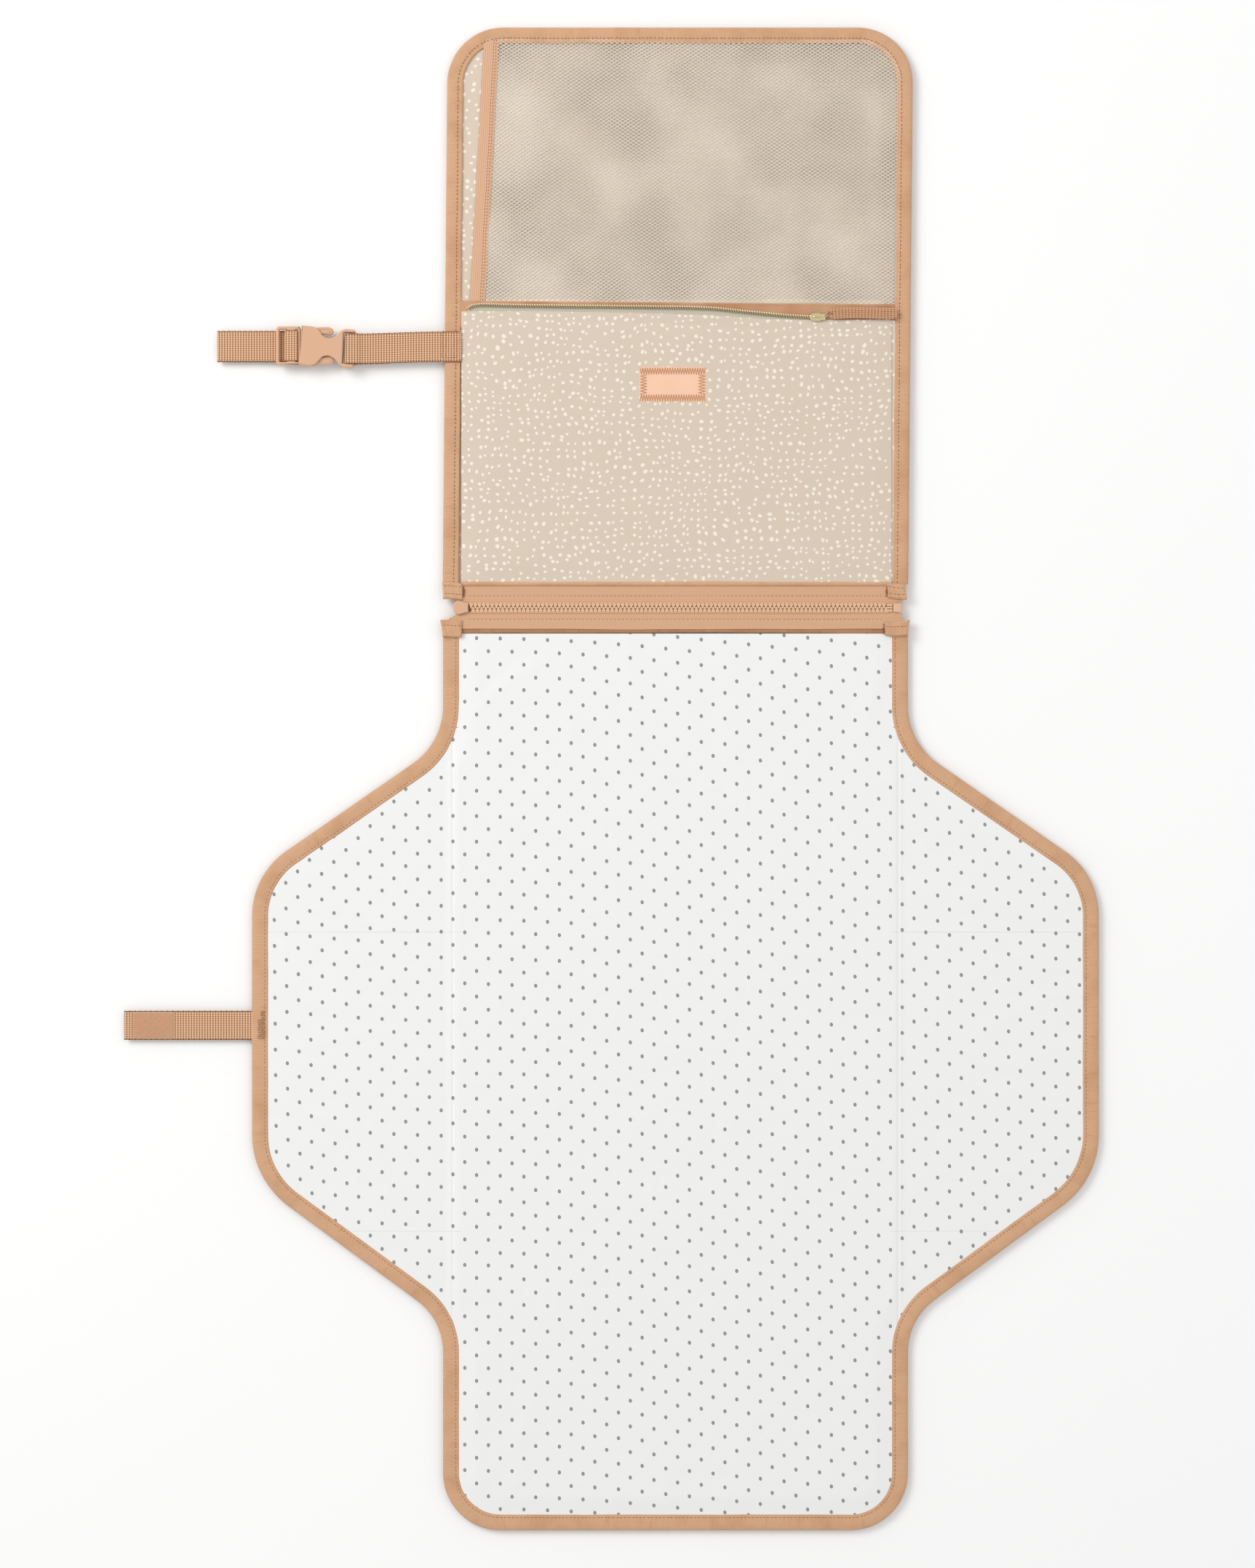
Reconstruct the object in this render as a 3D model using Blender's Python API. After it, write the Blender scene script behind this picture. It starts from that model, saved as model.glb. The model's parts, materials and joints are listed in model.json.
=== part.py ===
"""Folding changing pad with its clutch: flat, opened out, lying on its back.

Metres, +Z up. The origin is the middle of the pad's underside, +Y runs from
the pad towards the clutch, +X to the right. The lowest face is z = 0.
Each joint axis lies above its panels, at the height where the folded layers
stack with a small gap between them.
"""
import math

import bmesh
import bpy
from mathutils import Matrix, Vector

for old in list(bpy.data.objects):
    bpy.data.objects.remove(old, do_unlink=True)

MM = 0.001

# ---------------------------------------------------------------- dimensions
GAP = 0.3 * MM            # clearance between neighbouring pieces
LEAF = 0.5 * MM           # clearance between folded layers

# pad, thirds of one column with two wings
PAD_TOP = 290.2 * MM      # zip seam side
PAD_BOTTOM = -290.2 * MM
THIRD = 96.7 * MM         # fold lines at +THIRD and -THIRD
COL_HALF = 150.3 * MM     # outer edge of the column's binding
WING_HALF = 273.8 * MM    # outer edge of the wings' binding
WING_LINE = 144.0 * MM    # wing fold line
BIND = 10.0 * MM          # width of the binding
UP_IN = (COL_HALF, 219.3 * MM, 45 * MM)      # x, y, radius of each outline corner
UP_OUT = (WING_HALF, 133.9 * MM, 51 * MM)
LOW_OUT = (WING_HALF, -63.2 * MM, 57 * MM)
LOW_IN = (COL_HALF, -153.9 * MM, 42 * MM)
FOOT_R = 37 * MM
WING_TOP = 229.0 * MM     # the wings leave the column's edge here
WING_LOW = -176.0 * MM

PAD_BACK = (0.0, 0.4 * MM)
PAD_FOAM = (0.7 * MM, 2.3 * MM)
PAD_SHEET = (2.6 * MM, 3.0 * MM)
PAD_T = PAD_SHEET[1]
WING_T = 2.0 * MM         # wings and pad bindings
WING_PANEL_T = 1.7 * MM

# clutch
CLUTCH_HALF = 150.5 * MM
FOLD_Y = 500.0 * MM
BASE_LOW = 322.2 * MM
BASE_HIGH = 495.4 * MM
FLAP_LOW = 504.7 * MM
FLAP_HIGH = 681.7 * MM
FLAP_R = 36 * MM
SHELL = (0.0, 0.5 * MM)
PADDING = (0.8 * MM, 1.5 * MM)
LINING = (1.8 * MM, 2.1 * MM)
CLUTCH_T = 3.0 * MM

# main separating zip
ZIP_Y = 306.4 * MM
ZIP_X0, ZIP_X1 = -133.2 * MM, 136.1 * MM
TOOTH_PITCH = 2.72 * MM
TAPE_Z = (2.5 * MM, 3.1 * MM)
TEETH_Z = (2.0 * MM, 3.6 * MM)
ZIP_HINGE_Y = 291.8 * MM

# folded heights, each the height of a joint axis above z = 0
RIGHT_AXIS = (PAD_T + WING_T + LEAF) / 2
RIGHT_TOP = 2 * RIGHT_AXIS
LEFT_AXIS = (RIGHT_TOP + LEAF + WING_T) / 2
WINGS_TOP = 2 * LEFT_AXIS
LOWER_AXIS = (2 * WINGS_TOP + LEAF) / 2
LOWER_TOP = 2 * LOWER_AXIS
UPPER_AXIS = (LOWER_TOP + WINGS_TOP + LEAF) / 2
UPPER_TOP = 2 * UPPER_AXIS
BASE_CLEAR = 7.0 * MM
ZIP_AXIS = (UPPER_TOP + BASE_CLEAR + LEAF) / 2
ZIP_TOP = 2 * ZIP_AXIS
FLAP_AXIS = (ZIP_TOP + CLUTCH_T + LEAF) / 2

# straps
WEB_HALF = 9.5 * MM       # half of a 19 mm webbing
STRAP_Y = 475.4 * MM
STRAP_Z = 3.9 * MM        # middle of the webbing and of the buckle
WEB_T = 1.2 * MM
STRAP_AXIS = (-155.0 * MM, 4.8 * MM)
HOOK_Y = 36.4 * MM
HOOK_X0, HOOK_X1 = -274.7 * MM, -356.5 * MM
HOOK_AXIS = (-274.3 * MM, (WING_T + 2.0 * MM + LEAF) / 2)

# ----------------------------------------------------------------- materials
LOOKS = {
    "grosgrain": ((0.60, 0.34, 0.20), 0.80, 0.0),
    "webbing": ((0.54, 0.32, 0.19), 0.75, 0.0),
    "peva_sheet": ((0.88, 0.88, 0.88), 0.35, 0.0),
    "foam": ((0.85, 0.84, 0.80), 0.95, 0.0),
    "dotted_fabric": ((0.72, 0.62, 0.48), 0.85, 0.0),
    "mesh": ((0.90, 0.87, 0.81), 0.60, 0.0),
    "zip_tape": ((0.57, 0.47, 0.34), 0.85, 0.0),
    "coil": ((0.86, 0.80, 0.70), 0.45, 0.0),
    "teeth": ((0.66, 0.42, 0.28), 0.40, 0.0),
    "moulded": ((0.65, 0.39, 0.25), 0.38, 0.0),
    "slider_metal": ((0.70, 0.62, 0.48), 0.30, 1.0),
    "patch": ((0.90, 0.62, 0.42), 0.80, 0.0),
    "elastic": ((0.74, 0.52, 0.36), 0.85, 0.0),
    "hook_tape": ((0.62, 0.36, 0.22), 0.95, 0.0),
}


def material(name, look):
    (red, green, blue), rough, metal = LOOKS[look]
    mat = bpy.data.materials.new(name + "_" + look)
    mat.use_nodes = True
    shader = mat.node_tree.nodes["Principled BSDF"]
    shader.inputs["Base Color"].default_value = (red, green, blue, 1)
    shader.inputs["Roughness"].default_value = rough
    shader.inputs["Metallic"].default_value = metal
    mat.diffuse_color = (red, green, blue, 1)
    return mat


parts = bpy.data.collections.new("changing_pad")
cutters = bpy.data.collections.new("cutters")
bpy.context.scene.collection.children.link(parts)
bpy.context.scene.collection.children.link(cutters)


def axis_empty(name, place, parent=None):
    """An empty on a joint's axis; the moving pieces are parented to it."""
    empty = bpy.data.objects.new(name, None)
    empty.empty_display_size = 0.01
    parts.objects.link(empty)
    if parent is not None:
        empty.parent = parent
        empty.matrix_parent_inverse = Matrix.Translation(parent.matrix_world.translation).inverted()
    empty.location = place
    bpy.context.view_layer.update()
    return empty


def join_to(obj, empty):
    if empty is not None:
        obj.parent = empty
        obj.matrix_parent_inverse = Matrix.Translation(empty.matrix_world.translation).inverted()


# ------------------------------------------------------------ 2D construction
def rounded(corners, steps=7):
    """Points of a path through corners (x, y, radius), each corner an arc."""
    out = []
    last = len(corners) - 1
    for i, (x, y, r) in enumerate(corners):
        if r <= 0 or i in (0, last):
            out.append((x, y))
            continue
        here = Vector((x, y))
        back = (Vector(corners[i - 1][:2]) - here).normalized()
        ahead = (Vector(corners[i + 1][:2]) - here).normalized()
        half = math.acos(max(-1, min(1, back.dot(ahead)))) / 2
        reach = r / math.tan(half)
        centre = here + (back + ahead).normalized() * (r / math.sin(half))
        a, b = here + back * reach - centre, here + ahead * reach - centre
        start, end = math.atan2(a.y, a.x), math.atan2(b.y, b.x)
        sweep = (end - start + math.pi) % (2 * math.pi) - math.pi
        n = max(2, round(steps * abs(sweep) / (math.pi / 2)))
        for k in range(n + 1):
            t = start + sweep * k / n
            out.append((centre.x + r * math.cos(t), centre.y + r * math.sin(t)))
    return out


def inset(corners, d):
    """The path moved by d to its right-hand side, radii kept concentric."""
    out = []
    for i, (x, y, r) in enumerate(corners):
        here = Vector((x, y))
        normals = []
        if i > 0:
            u = (here - Vector(corners[i - 1][:2])).normalized()
            normals.append(Vector((u.y, -u.x)))
        if i < len(corners) - 1:
            v = (Vector(corners[i + 1][:2]) - here).normalized()
            normals.append(Vector((v.y, -v.x)))
        if len(normals) == 1:
            out.append((x + normals[0].x * d, y + normals[0].y * d, 0))
            continue
        n1, n2 = normals
        m = (n1 + n2) / (1 + n1.dot(n2))
        turn = n1.x * n2.y - n1.y * n2.x   # negative turns right, towards the inset
        out.append((x + m.x * d, y + m.y * d, r - d if turn < 0 else r + d))
    return out


def clip(points, axis, value, above):
    """The part of a polygon on one side of a line x = value or y = value."""
    out = []
    inside = (lambda p: p[axis] >= value) if above else (lambda p: p[axis] <= value)
    for i, p in enumerate(points):
        q = points[i - 1]
        if inside(p) != inside(q):
            t = (value - q[axis]) / (p[axis] - q[axis])
            cross = [q[0] + t * (p[0] - q[0]), q[1] + t * (p[1] - q[1])]
            cross[axis] = value
            out.append(tuple(cross))
        if inside(p):
            out.append(p)
    clean = []
    for p in out:
        if not clean or math.dist(p, clean[-1]) > 0.02 * MM:
            clean.append(p)
    if math.dist(clean[0], clean[-1]) < 0.02 * MM:
        clean.pop()
    return clean


def mirrored(points):
    return [(-x, y) for x, y in reversed(points)]


def rect(x0, y0, x1, y1):
    return [(x0, y0), (x1, y0), (x1, y1), (x0, y1)]


# ------------------------------------------------------------ solids
def flat(name, look, loops, low, high, turn=None, middle=0.0, empty=None, slope=0.0, across=0.0):
    """A flat outline, with any holes, given a thickness from low to high.

    turn None: outline in X Y, thickness along Z.
    turn "y": outline in X Z, width along Y about middle.
    turn "x": outline in Y Z, length along X about middle; slope turns it about
    Z, with the outline's Y then counted from across.
    """
    curve = bpy.data.curves.new(name, "CURVE")
    curve.dimensions = "2D"
    curve.fill_mode = "BOTH"
    curve.resolution_u = 1
    curve.render_resolution_u = 0
    curve.extrude = (high - low) / 2
    for loop in loops:
        spline = curve.splines.new("POLY")
        spline.points.add(len(loop) - 1)
        for point, (x, y) in zip(spline.points, loop):
            point.co = (x, y, 0, 1)
        spline.use_cyclic_u = True
    obj = bpy.data.objects.new(name, curve)
    if turn is None:
        obj.location = (0, 0, (low + high) / 2)
    elif turn == "y":
        obj.rotation_euler = (math.pi / 2, 0, 0)
        obj.location = (0, middle, 0)
    else:
        obj.rotation_euler = (math.pi / 2, 0, math.pi / 2 + slope)
        obj.location = (middle, across, 0)
    parts.objects.link(obj)
    curve.materials.append(material(name, look))
    join_to(obj, empty)
    return obj


def box(name, look, low, high, empty=None):
    """A box from its lowest to its highest corner."""
    mesh = bpy.data.meshes.new(name)
    shape = bmesh.new()
    bmesh.ops.create_cube(shape, size=1.0)
    size = [b - a for a, b in zip(low, high)]
    middle = [(a + b) / 2 for a, b in zip(low, high)]
    bmesh.ops.scale(shape, vec=size, verts=shape.verts)
    shape.to_mesh(mesh)
    shape.free()
    obj = bpy.data.objects.new(name, mesh)
    obj.location = middle
    parts.objects.link(obj)
    mesh.materials.append(material(name, look))
    join_to(obj, empty)
    return obj


def as_mesh(obj):
    """Turn a curve object into a welded mesh object of the same name."""
    bpy.context.view_layer.update()
    mesh = bpy.data.meshes.new_from_object(obj.evaluated_get(bpy.context.evaluated_depsgraph_get()))
    shape = bmesh.new()
    shape.from_mesh(mesh)
    bmesh.ops.remove_doubles(shape, verts=shape.verts, dist=1e-6)
    shape.to_mesh(mesh)
    shape.free()
    name, place, parent, inverse = obj.name, obj.matrix_world.copy(), obj.parent, obj.matrix_parent_inverse.copy()
    bpy.data.objects.remove(obj, do_unlink=True)
    new = bpy.data.objects.new(name, mesh)
    parts.objects.link(new)
    if parent is not None:
        new.parent = parent
        new.matrix_parent_inverse = inverse
    new.matrix_world = place
    return new


def cut(obj, low, high):
    """Cut a box out of a mesh object."""
    mesh = bpy.data.meshes.new(obj.name + "_cutter")
    shape = bmesh.new()
    bmesh.ops.create_cube(shape, size=1.0)
    bmesh.ops.scale(shape, vec=[b - a for a, b in zip(low, high)], verts=shape.verts)
    shape.to_mesh(mesh)
    shape.free()
    tool = bpy.data.objects.new(obj.name + "_cutter", mesh)
    tool.location = [(a + b) / 2 for a, b in zip(low, high)]
    tool.hide_render = True
    tool.display_type = "WIRE"
    cutters.objects.link(tool)
    mod = obj.modifiers.new("cut", "BOOLEAN")
    mod.object = tool
    mod.operation = "DIFFERENCE"
    mod.solver = "EXACT"


# ------------------------------------------------------------ joint axes
flap_axis = axis_empty("clutch_fold_axis", (0, FOLD_Y, FLAP_AXIS))
strap_axis = axis_empty("strap_swing_axis", (STRAP_AXIS[0], STRAP_Y, STRAP_AXIS[1]))
zip_lower_axis = axis_empty("zip_part_axis", (0, ZIP_Y, TEETH_Z[0]))
upper_pad_axis = axis_empty("zip_fold_axis", (0, ZIP_HINGE_Y, ZIP_AXIS), zip_lower_axis)
middle_pad_axis = axis_empty("upper_fold_axis", (0, THIRD, UPPER_AXIS), upper_pad_axis)
lower_pad_axis = axis_empty("lower_fold_axis", (0, -THIRD, LOWER_AXIS), middle_pad_axis)

# ------------------------------------------------------------ the pad
side = [(COL_HALF, PAD_TOP, 0), UP_IN, UP_OUT, LOW_OUT, LOW_IN,
        (COL_HALF, PAD_BOTTOM, FOOT_R), (0, PAD_BOTTOM, 0)]
edge = rounded(side)
bind_in = rounded(inset(side, BIND))
panel_out = rounded(inset(side, BIND + GAP))
strip = edge + list(reversed(bind_in))
panel_area = panel_out + [(0, PAD_TOP)]

PAD_BODIES = {
    "upper": (THIRD + GAP, PAD_TOP, upper_pad_axis),
    "middle": (-THIRD + GAP, THIRD - GAP, middle_pad_axis),
    "lower": (PAD_BOTTOM, -THIRD - GAP, lower_pad_axis),
}
INNER = WING_LINE - GAP   # column sheets reach the wing line
for third, (y0, y1, empty) in PAD_BODIES.items():
    half = clip(clip(clip(panel_area, 1, y0, True), 1, y1, False), 0, INNER, False)
    # keep the path down the right side, then mirror it back up the left
    start = next(i for i, p in enumerate(half) if p[0] > 1e-6 and half[i - 1][0] <= 1e-6)
    ordered = [p for p in half[start:] + half[:start] if p[0] > 1e-6]
    whole = ordered + mirrored(ordered)
    for piece, look, (low, high) in (("backing", "dotted_fabric", PAD_BACK),
                                     ("foam", "foam", PAD_FOAM),
                                     ("top_sheet", "peva_sheet", PAD_SHEET)):
        flat("pad_%s_%s" % (third, piece), look, [whole], low, high, empty=empty)

# bindings of the column: two at the head, one U round the foot
head = clip(strip, 1, WING_TOP + GAP, True)
flat("pad_head_binding_right", "grosgrain", [head], 0, WING_T, empty=upper_pad_axis)
flat("pad_head_binding_left", "grosgrain", [mirrored(head)], 0, WING_T, empty=upper_pad_axis)
foot_edge = [p for p in edge if p[1] < WING_LOW - GAP and p[0] > 1e-6]
foot_in = [p for p in bind_in if p[1] < WING_LOW - GAP and p[0] > 1e-6]
foot_edge = [(COL_HALF, WING_LOW - GAP)] + [p for p in foot_edge if p[1] < WING_LOW - 5 * MM]
foot_in = [(COL_HALF - BIND, WING_LOW - GAP)] + [p for p in foot_in if p[1] < WING_LOW - 5 * MM]
flat("pad_foot_binding", "grosgrain",
     [foot_edge + mirrored(foot_edge) + list(reversed(foot_in + mirrored(foot_in)))],
     0, WING_T, empty=lower_pad_axis)

# wings: thirds of each wing, hinged on the matching third of the column
WINGS = {
    "upper": (THIRD + GAP, WING_TOP, upper_pad_axis),
    "middle": (-THIRD + GAP, THIRD - GAP, middle_pad_axis),
    "lower": (WING_LOW, -THIRD - GAP, lower_pad_axis),
}
for third, (y0, y1, parent) in WINGS.items():
    for hand, height in (("right", RIGHT_AXIS), ("left", LEFT_AXIS)):
        sign = 1 if hand == "right" else -1
        empty = axis_empty("%s_wing_%s_axis" % (hand, third),
                           (sign * WING_LINE, (y0 + y1) / 2, height), parent)
        panel = clip(clip(clip(panel_area, 1, y0, True), 1, y1, False), 0, WING_LINE + GAP, True)
        band = clip(clip(clip(strip, 1, y0, True), 1, y1, False), 0, WING_LINE + GAP, True)
        if sign < 0:
            panel, band = mirrored(panel), mirrored(band)
        flat("%s_wing_%s_panel" % (hand, third), "peva_sheet", [panel], 0, WING_PANEL_T, empty=empty)
        flat("%s_wing_%s_binding" % (hand, third), "grosgrain", [band], 0, WING_T, empty=empty)
        if hand == "left" and third == "middle":
            left_middle = empty

# hook strap on the left wing
hook_axis = axis_empty("hook_strap_axis", (HOOK_AXIS[0], HOOK_Y, HOOK_AXIS[1]), left_middle)
box("hook_strap_webbing", "webbing", (HOOK_X1, HOOK_Y - WEB_HALF, 0.3 * MM),
    (HOOK_X0, HOOK_Y + WEB_HALF, 1.2 * MM), hook_axis)
box("hook_strap_hook_patch", "hook_tape", (-350.9 * MM, HOOK_Y - 8.7 * MM, 1.5 * MM),
    (-324.5 * MM, HOOK_Y + 8.7 * MM, 2.0 * MM), hook_axis)

# ------------------------------------------------------------ main zip
# the tapes' free edges run in towards the teeth at both ends
NEAR, END = 3.2 * MM, 5.8 * MM
TAPE_LEFT, TAPE_RIGHT = -144.0 * MM, 145.5 * MM
flat("zip_upper_tape", "grosgrain",
     [[(-CLUTCH_HALF, BASE_LOW - GAP), (-CLUTCH_HALF, ZIP_Y + END), (-147.0 * MM, ZIP_Y + 4.6 * MM),
       (TAPE_LEFT, ZIP_Y + NEAR), (TAPE_RIGHT, ZIP_Y + NEAR), (TAPE_RIGHT, ZIP_Y + END),
       (CLUTCH_HALF, ZIP_Y + END), (CLUTCH_HALF, BASE_LOW - GAP)]], *TAPE_Z)
flat("zip_lower_tape", "grosgrain",
     [[(-CLUTCH_HALF, ZIP_HINGE_Y + GAP), (CLUTCH_HALF, ZIP_HINGE_Y + GAP), (CLUTCH_HALF, ZIP_Y - END),
       (TAPE_RIGHT, ZIP_Y - END), (TAPE_RIGHT, ZIP_Y - NEAR), (TAPE_LEFT, ZIP_Y - NEAR),
       (-147.0 * MM, ZIP_Y - 4.6 * MM), (-CLUTCH_HALF, ZIP_Y - END)]], *TAPE_Z, empty=zip_lower_axis)
box("zip_box", "moulded", (140.6 * MM, ZIP_Y - 2.9 * MM, 1.9 * MM), (145.8 * MM, ZIP_Y + 2.9 * MM, 3.9 * MM))


def comb(direction):
    """A row of tapered teeth standing on a cord; direction is the side it points to."""
    y_cord, y_root, y_tip = [ZIP_Y - direction * d * MM for d in (2.9, 1.9, 0.5)]
    points = [(ZIP_X0, y_cord), (ZIP_X0, y_root)]
    count = int((ZIP_X1 - ZIP_X0) / TOOTH_PITCH)
    for k in range(count):
        x = ZIP_X0 + (k + (0.25 if direction > 0 else 0.75)) * TOOTH_PITCH
        if x + 0.9 * MM > ZIP_X1:
            break
        points += [(x - 0.75 * MM, y_root), (x - 0.55 * MM, y_tip),
                   (x + 0.55 * MM, y_tip), (x + 0.75 * MM, y_root)]
    points += [(ZIP_X1, y_root), (ZIP_X1, y_cord)]
    return points if direction < 0 else list(reversed(points))


def tidy(points):
    out = []
    for p in points:
        if not out or math.dist(p, out[-1]) > 0.05 * MM:
            out.append(p)
    return out


flat("zip_upper_teeth", "teeth", [tidy(comb(-1))], *TEETH_Z)
flat("zip_lower_teeth", "teeth", [tidy(comb(1))], *TEETH_Z, empty=zip_lower_axis)

slider_axis = axis_empty("zip_slider_axis", (-138.7 * MM, ZIP_Y, 2.8 * MM))
profile = [(ZIP_Y - 4.6 * MM, 1.1 * MM), (ZIP_Y + 4.6 * MM, 1.1 * MM), (ZIP_Y + 4.6 * MM, 1.7 * MM),
           (ZIP_Y + 0.2 * MM, 1.7 * MM), (ZIP_Y + 0.2 * MM, 3.9 * MM), (ZIP_Y + 4.6 * MM, 3.9 * MM),
           (ZIP_Y + 4.6 * MM, 4.5 * MM), (ZIP_Y - 4.6 * MM, 4.5 * MM), (ZIP_Y - 4.6 * MM, 3.9 * MM),
           (ZIP_Y - 0.2 * MM, 3.9 * MM), (ZIP_Y - 0.2 * MM, 1.7 * MM), (ZIP_Y - 4.6 * MM, 1.7 * MM)]
flat("zip_slider", "moulded", [profile], 0, 9.9 * MM, turn="x", middle=-138.7 * MM, empty=slider_axis)
pull_axis = axis_empty("zip_slider_pull_axis", (-141.0 * MM, ZIP_Y, 0.5 * MM), slider_axis)
box("zip_slider_pull", "moulded", (-141.3 * MM, ZIP_Y - 3.2 * MM, 0.2 * MM),
    (-119.0 * MM, ZIP_Y + 3.2 * MM, 0.8 * MM), pull_axis)

# ------------------------------------------------------------ clutch base
IN = CLUTCH_HALF - BIND - GAP
box("base_outer_shell", "dotted_fabric", (-IN, BASE_LOW, SHELL[0]), (IN, BASE_HIGH, SHELL[1]))
box("base_padding", "foam", (-IN, BASE_LOW, PADDING[0]), (IN, BASE_HIGH, PADDING[1]))
box("base_lining", "dotted_fabric", (-IN, BASE_LOW, LINING[0]), (IN, BASE_HIGH, LINING[1]))
box("base_pocket_front", "dotted_fabric", (-IN, BASE_LOW, 2.6 * MM), (IN, 492.0 * MM, 3.0 * MM))
for hand, sign in (("left", -1), ("right", 1)):
    a, b = sorted((sign * CLUTCH_HALF, sign * (CLUTCH_HALF - BIND)))
    box("base_binding_" + hand, "grosgrain", (a, BASE_LOW, 0), (b, 504.1 * MM, CLUTCH_T))
    a, b = sorted((sign * CLUTCH_HALF, sign * 137.0 * MM))
    box("zip_end_tab_" + hand, "grosgrain", (a, 311.9 * MM, 3.4 * MM), (b, 322.7 * MM, 4.0 * MM))
box("fold_tape", "grosgrain", (-IN, BASE_HIGH + GAP, 0), (IN, 504.1 * MM, CLUTCH_T))
# the pocket's zip runs slightly down to the right
COIL_SLOPE = math.atan2(-4.5, 222.8)
COIL_REF = (91.9 * MM, 494.4 * MM)


def coil_y(x):
    return COIL_REF[1] + (x - COIL_REF[0]) * math.tan(COIL_SLOPE)


flat("pocket_zip_tape", "zip_tape",
     [[(-136.0 * MM, coil_y(-136.0 * MM) - 6.0 * MM), (139.0 * MM, coil_y(139.0 * MM) - 6.0 * MM),
       (139.0 * MM, coil_y(139.0 * MM) + 3.4 * MM), (-136.0 * MM, coil_y(-136.0 * MM) + 3.4 * MM)]],
     3.3 * MM, 3.6 * MM)
flat("pocket_zip_coil", "coil",
     [[(-1.5 * MM, 3.9 * MM), (1.5 * MM, 3.9 * MM), (1.2 * MM, 4.3 * MM),
       (0.5 * MM, 4.5 * MM), (-0.5 * MM, 4.5 * MM), (-1.2 * MM, 4.3 * MM)]],
     0, 270.0 * MM, turn="x", middle=2.0 * MM, slope=COIL_SLOPE, across=coil_y(2.0 * MM))
box("pocket_patch", "patch", (-23.3 * MM, 439.4 * MM, 3.3 * MM), (19.5 * MM, 461.8 * MM, 3.7 * MM))

POCKET_SLIDER_X = 91.9 * MM
pocket_slider_axis = axis_empty("pocket_slider_axis", (POCKET_SLIDER_X, coil_y(POCKET_SLIDER_X), 4.8 * MM))
profile = [(-2.4 * MM, 3.9 * MM), (-1.8 * MM, 3.9 * MM), (-1.8 * MM, 4.8 * MM),
           (1.8 * MM, 4.8 * MM), (1.8 * MM, 3.9 * MM), (2.4 * MM, 3.9 * MM),
           (2.4 * MM, 5.4 * MM), (-2.4 * MM, 5.4 * MM)]
flat("pocket_zip_slider", "slider_metal", [profile], 0, 10.6 * MM, turn="x", middle=POCKET_SLIDER_X,
     empty=pocket_slider_axis, slope=COIL_SLOPE, across=coil_y(POCKET_SLIDER_X))
PULL_Y = 497.0 * MM
pocket_pull_axis = axis_empty("pocket_pull_axis", (97.5 * MM, PULL_Y, 5.8 * MM), pocket_slider_axis)
box("pocket_zip_pull", "grosgrain", (97.9 * MM, PULL_Y - 3.1 * MM, 5.0 * MM),
    (143.8 * MM, PULL_Y + 3.1 * MM, 5.8 * MM), pocket_pull_axis)

# ------------------------------------------------------------ clutch flap
flap_side = [(CLUTCH_HALF, FLAP_LOW, 0), (CLUTCH_HALF, FLAP_HIGH, FLAP_R), (0, FLAP_HIGH, 0)]


def left_inset(corners, d):
    """The flap's path runs up its right side, so its inside is on the left."""
    return [(-x, y, r) for x, y, r in inset([(-x, y, r) for x, y, r in corners], d)]


def u_path(path):
    right = [p for p in path if p[0] > 1e-6]
    return right + mirrored(right)


outer = u_path(rounded(flap_side))
inner = u_path(rounded(left_inset(flap_side, BIND)))
sheet = u_path(rounded(left_inset(flap_side, BIND + GAP)))
flat("flap_binding", "grosgrain", [outer + list(reversed(inner))], 0, CLUTCH_T, empty=flap_axis)
flat("flap_outer_shell", "dotted_fabric", [sheet], *SHELL, empty=flap_axis)
flat("flap_padding", "foam", [sheet], *PADDING, empty=flap_axis)
flat("flap_lining", "dotted_fabric", [sheet], *LINING, empty=flap_axis)
EL_TOP = FLAP_HIGH - BIND - GAP
flat("flap_elastic", "elastic",
     [[(-132.8 * MM, FLAP_LOW), (-123.6 * MM, FLAP_LOW), (-114.4 * MM, EL_TOP), (-123.4 * MM, EL_TOP - 2.2 * MM)]],
     2.4 * MM, 3.0 * MM, empty=flap_axis)
mesh_right = [p for p in sheet if p[0] > 1e-6]
flat("flap_mesh_pocket", "mesh", [mesh_right + [(-113.9 * MM, EL_TOP), (-123.2 * MM, FLAP_LOW)]],
     2.4 * MM, 2.8 * MM, empty=flap_axis)

# ------------------------------------------------------------ buckle strap
SEWN_Z = (CLUTCH_T + GAP, CLUTCH_T + GAP + WEB_T)
box("strap_sewn_end", "webbing", (-154.5 * MM, STRAP_Y - WEB_HALF, SEWN_Z[0]),
    (-139.0 * MM, STRAP_Y + WEB_HALF, SEWN_Z[1]))


def web(name, outside, inside, empty):
    return flat(name, "webbing", [[(x * MM, z * MM) for x, z in outside], [(x * MM, z * MM) for x, z in inside]],
                0, 2 * WEB_HALF, turn="y", middle=STRAP_Y, empty=empty)


# one layer at the clutch, doubled back round the buckle's rear bar
web("strap_webbing",
    [(-155.5, 3.3), (-155.5, 4.5), (-203.0, 4.5), (-207.0, 6.6), (-212.0, 6.8), (-214.2, 5.4),
     (-214.2, 2.4), (-212.0, 1.0), (-207.0, 1.2), (-203.0, 2.1), (-185.0, 2.1), (-184.4, 3.3)],
    [(-204.0, 3.35), (-206.9, 5.4), (-211.6, 5.6), (-213.0, 4.7), (-213.0, 3.1), (-211.6, 2.2), (-206.9, 2.4)],
    strap_axis)

BK_Z0, BK_Z1 = STRAP_Z - 3.5 * MM, STRAP_Z + 3.5 * MM


def both_sides(half):
    """Mirror a half outline, given as (x, distance from the strap's middle)."""
    up = [(x * MM, STRAP_Y + y * MM) for x, y in half]
    down = [(x * MM, STRAP_Y - y * MM) for x, y in reversed(half)]
    return up + down


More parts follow.
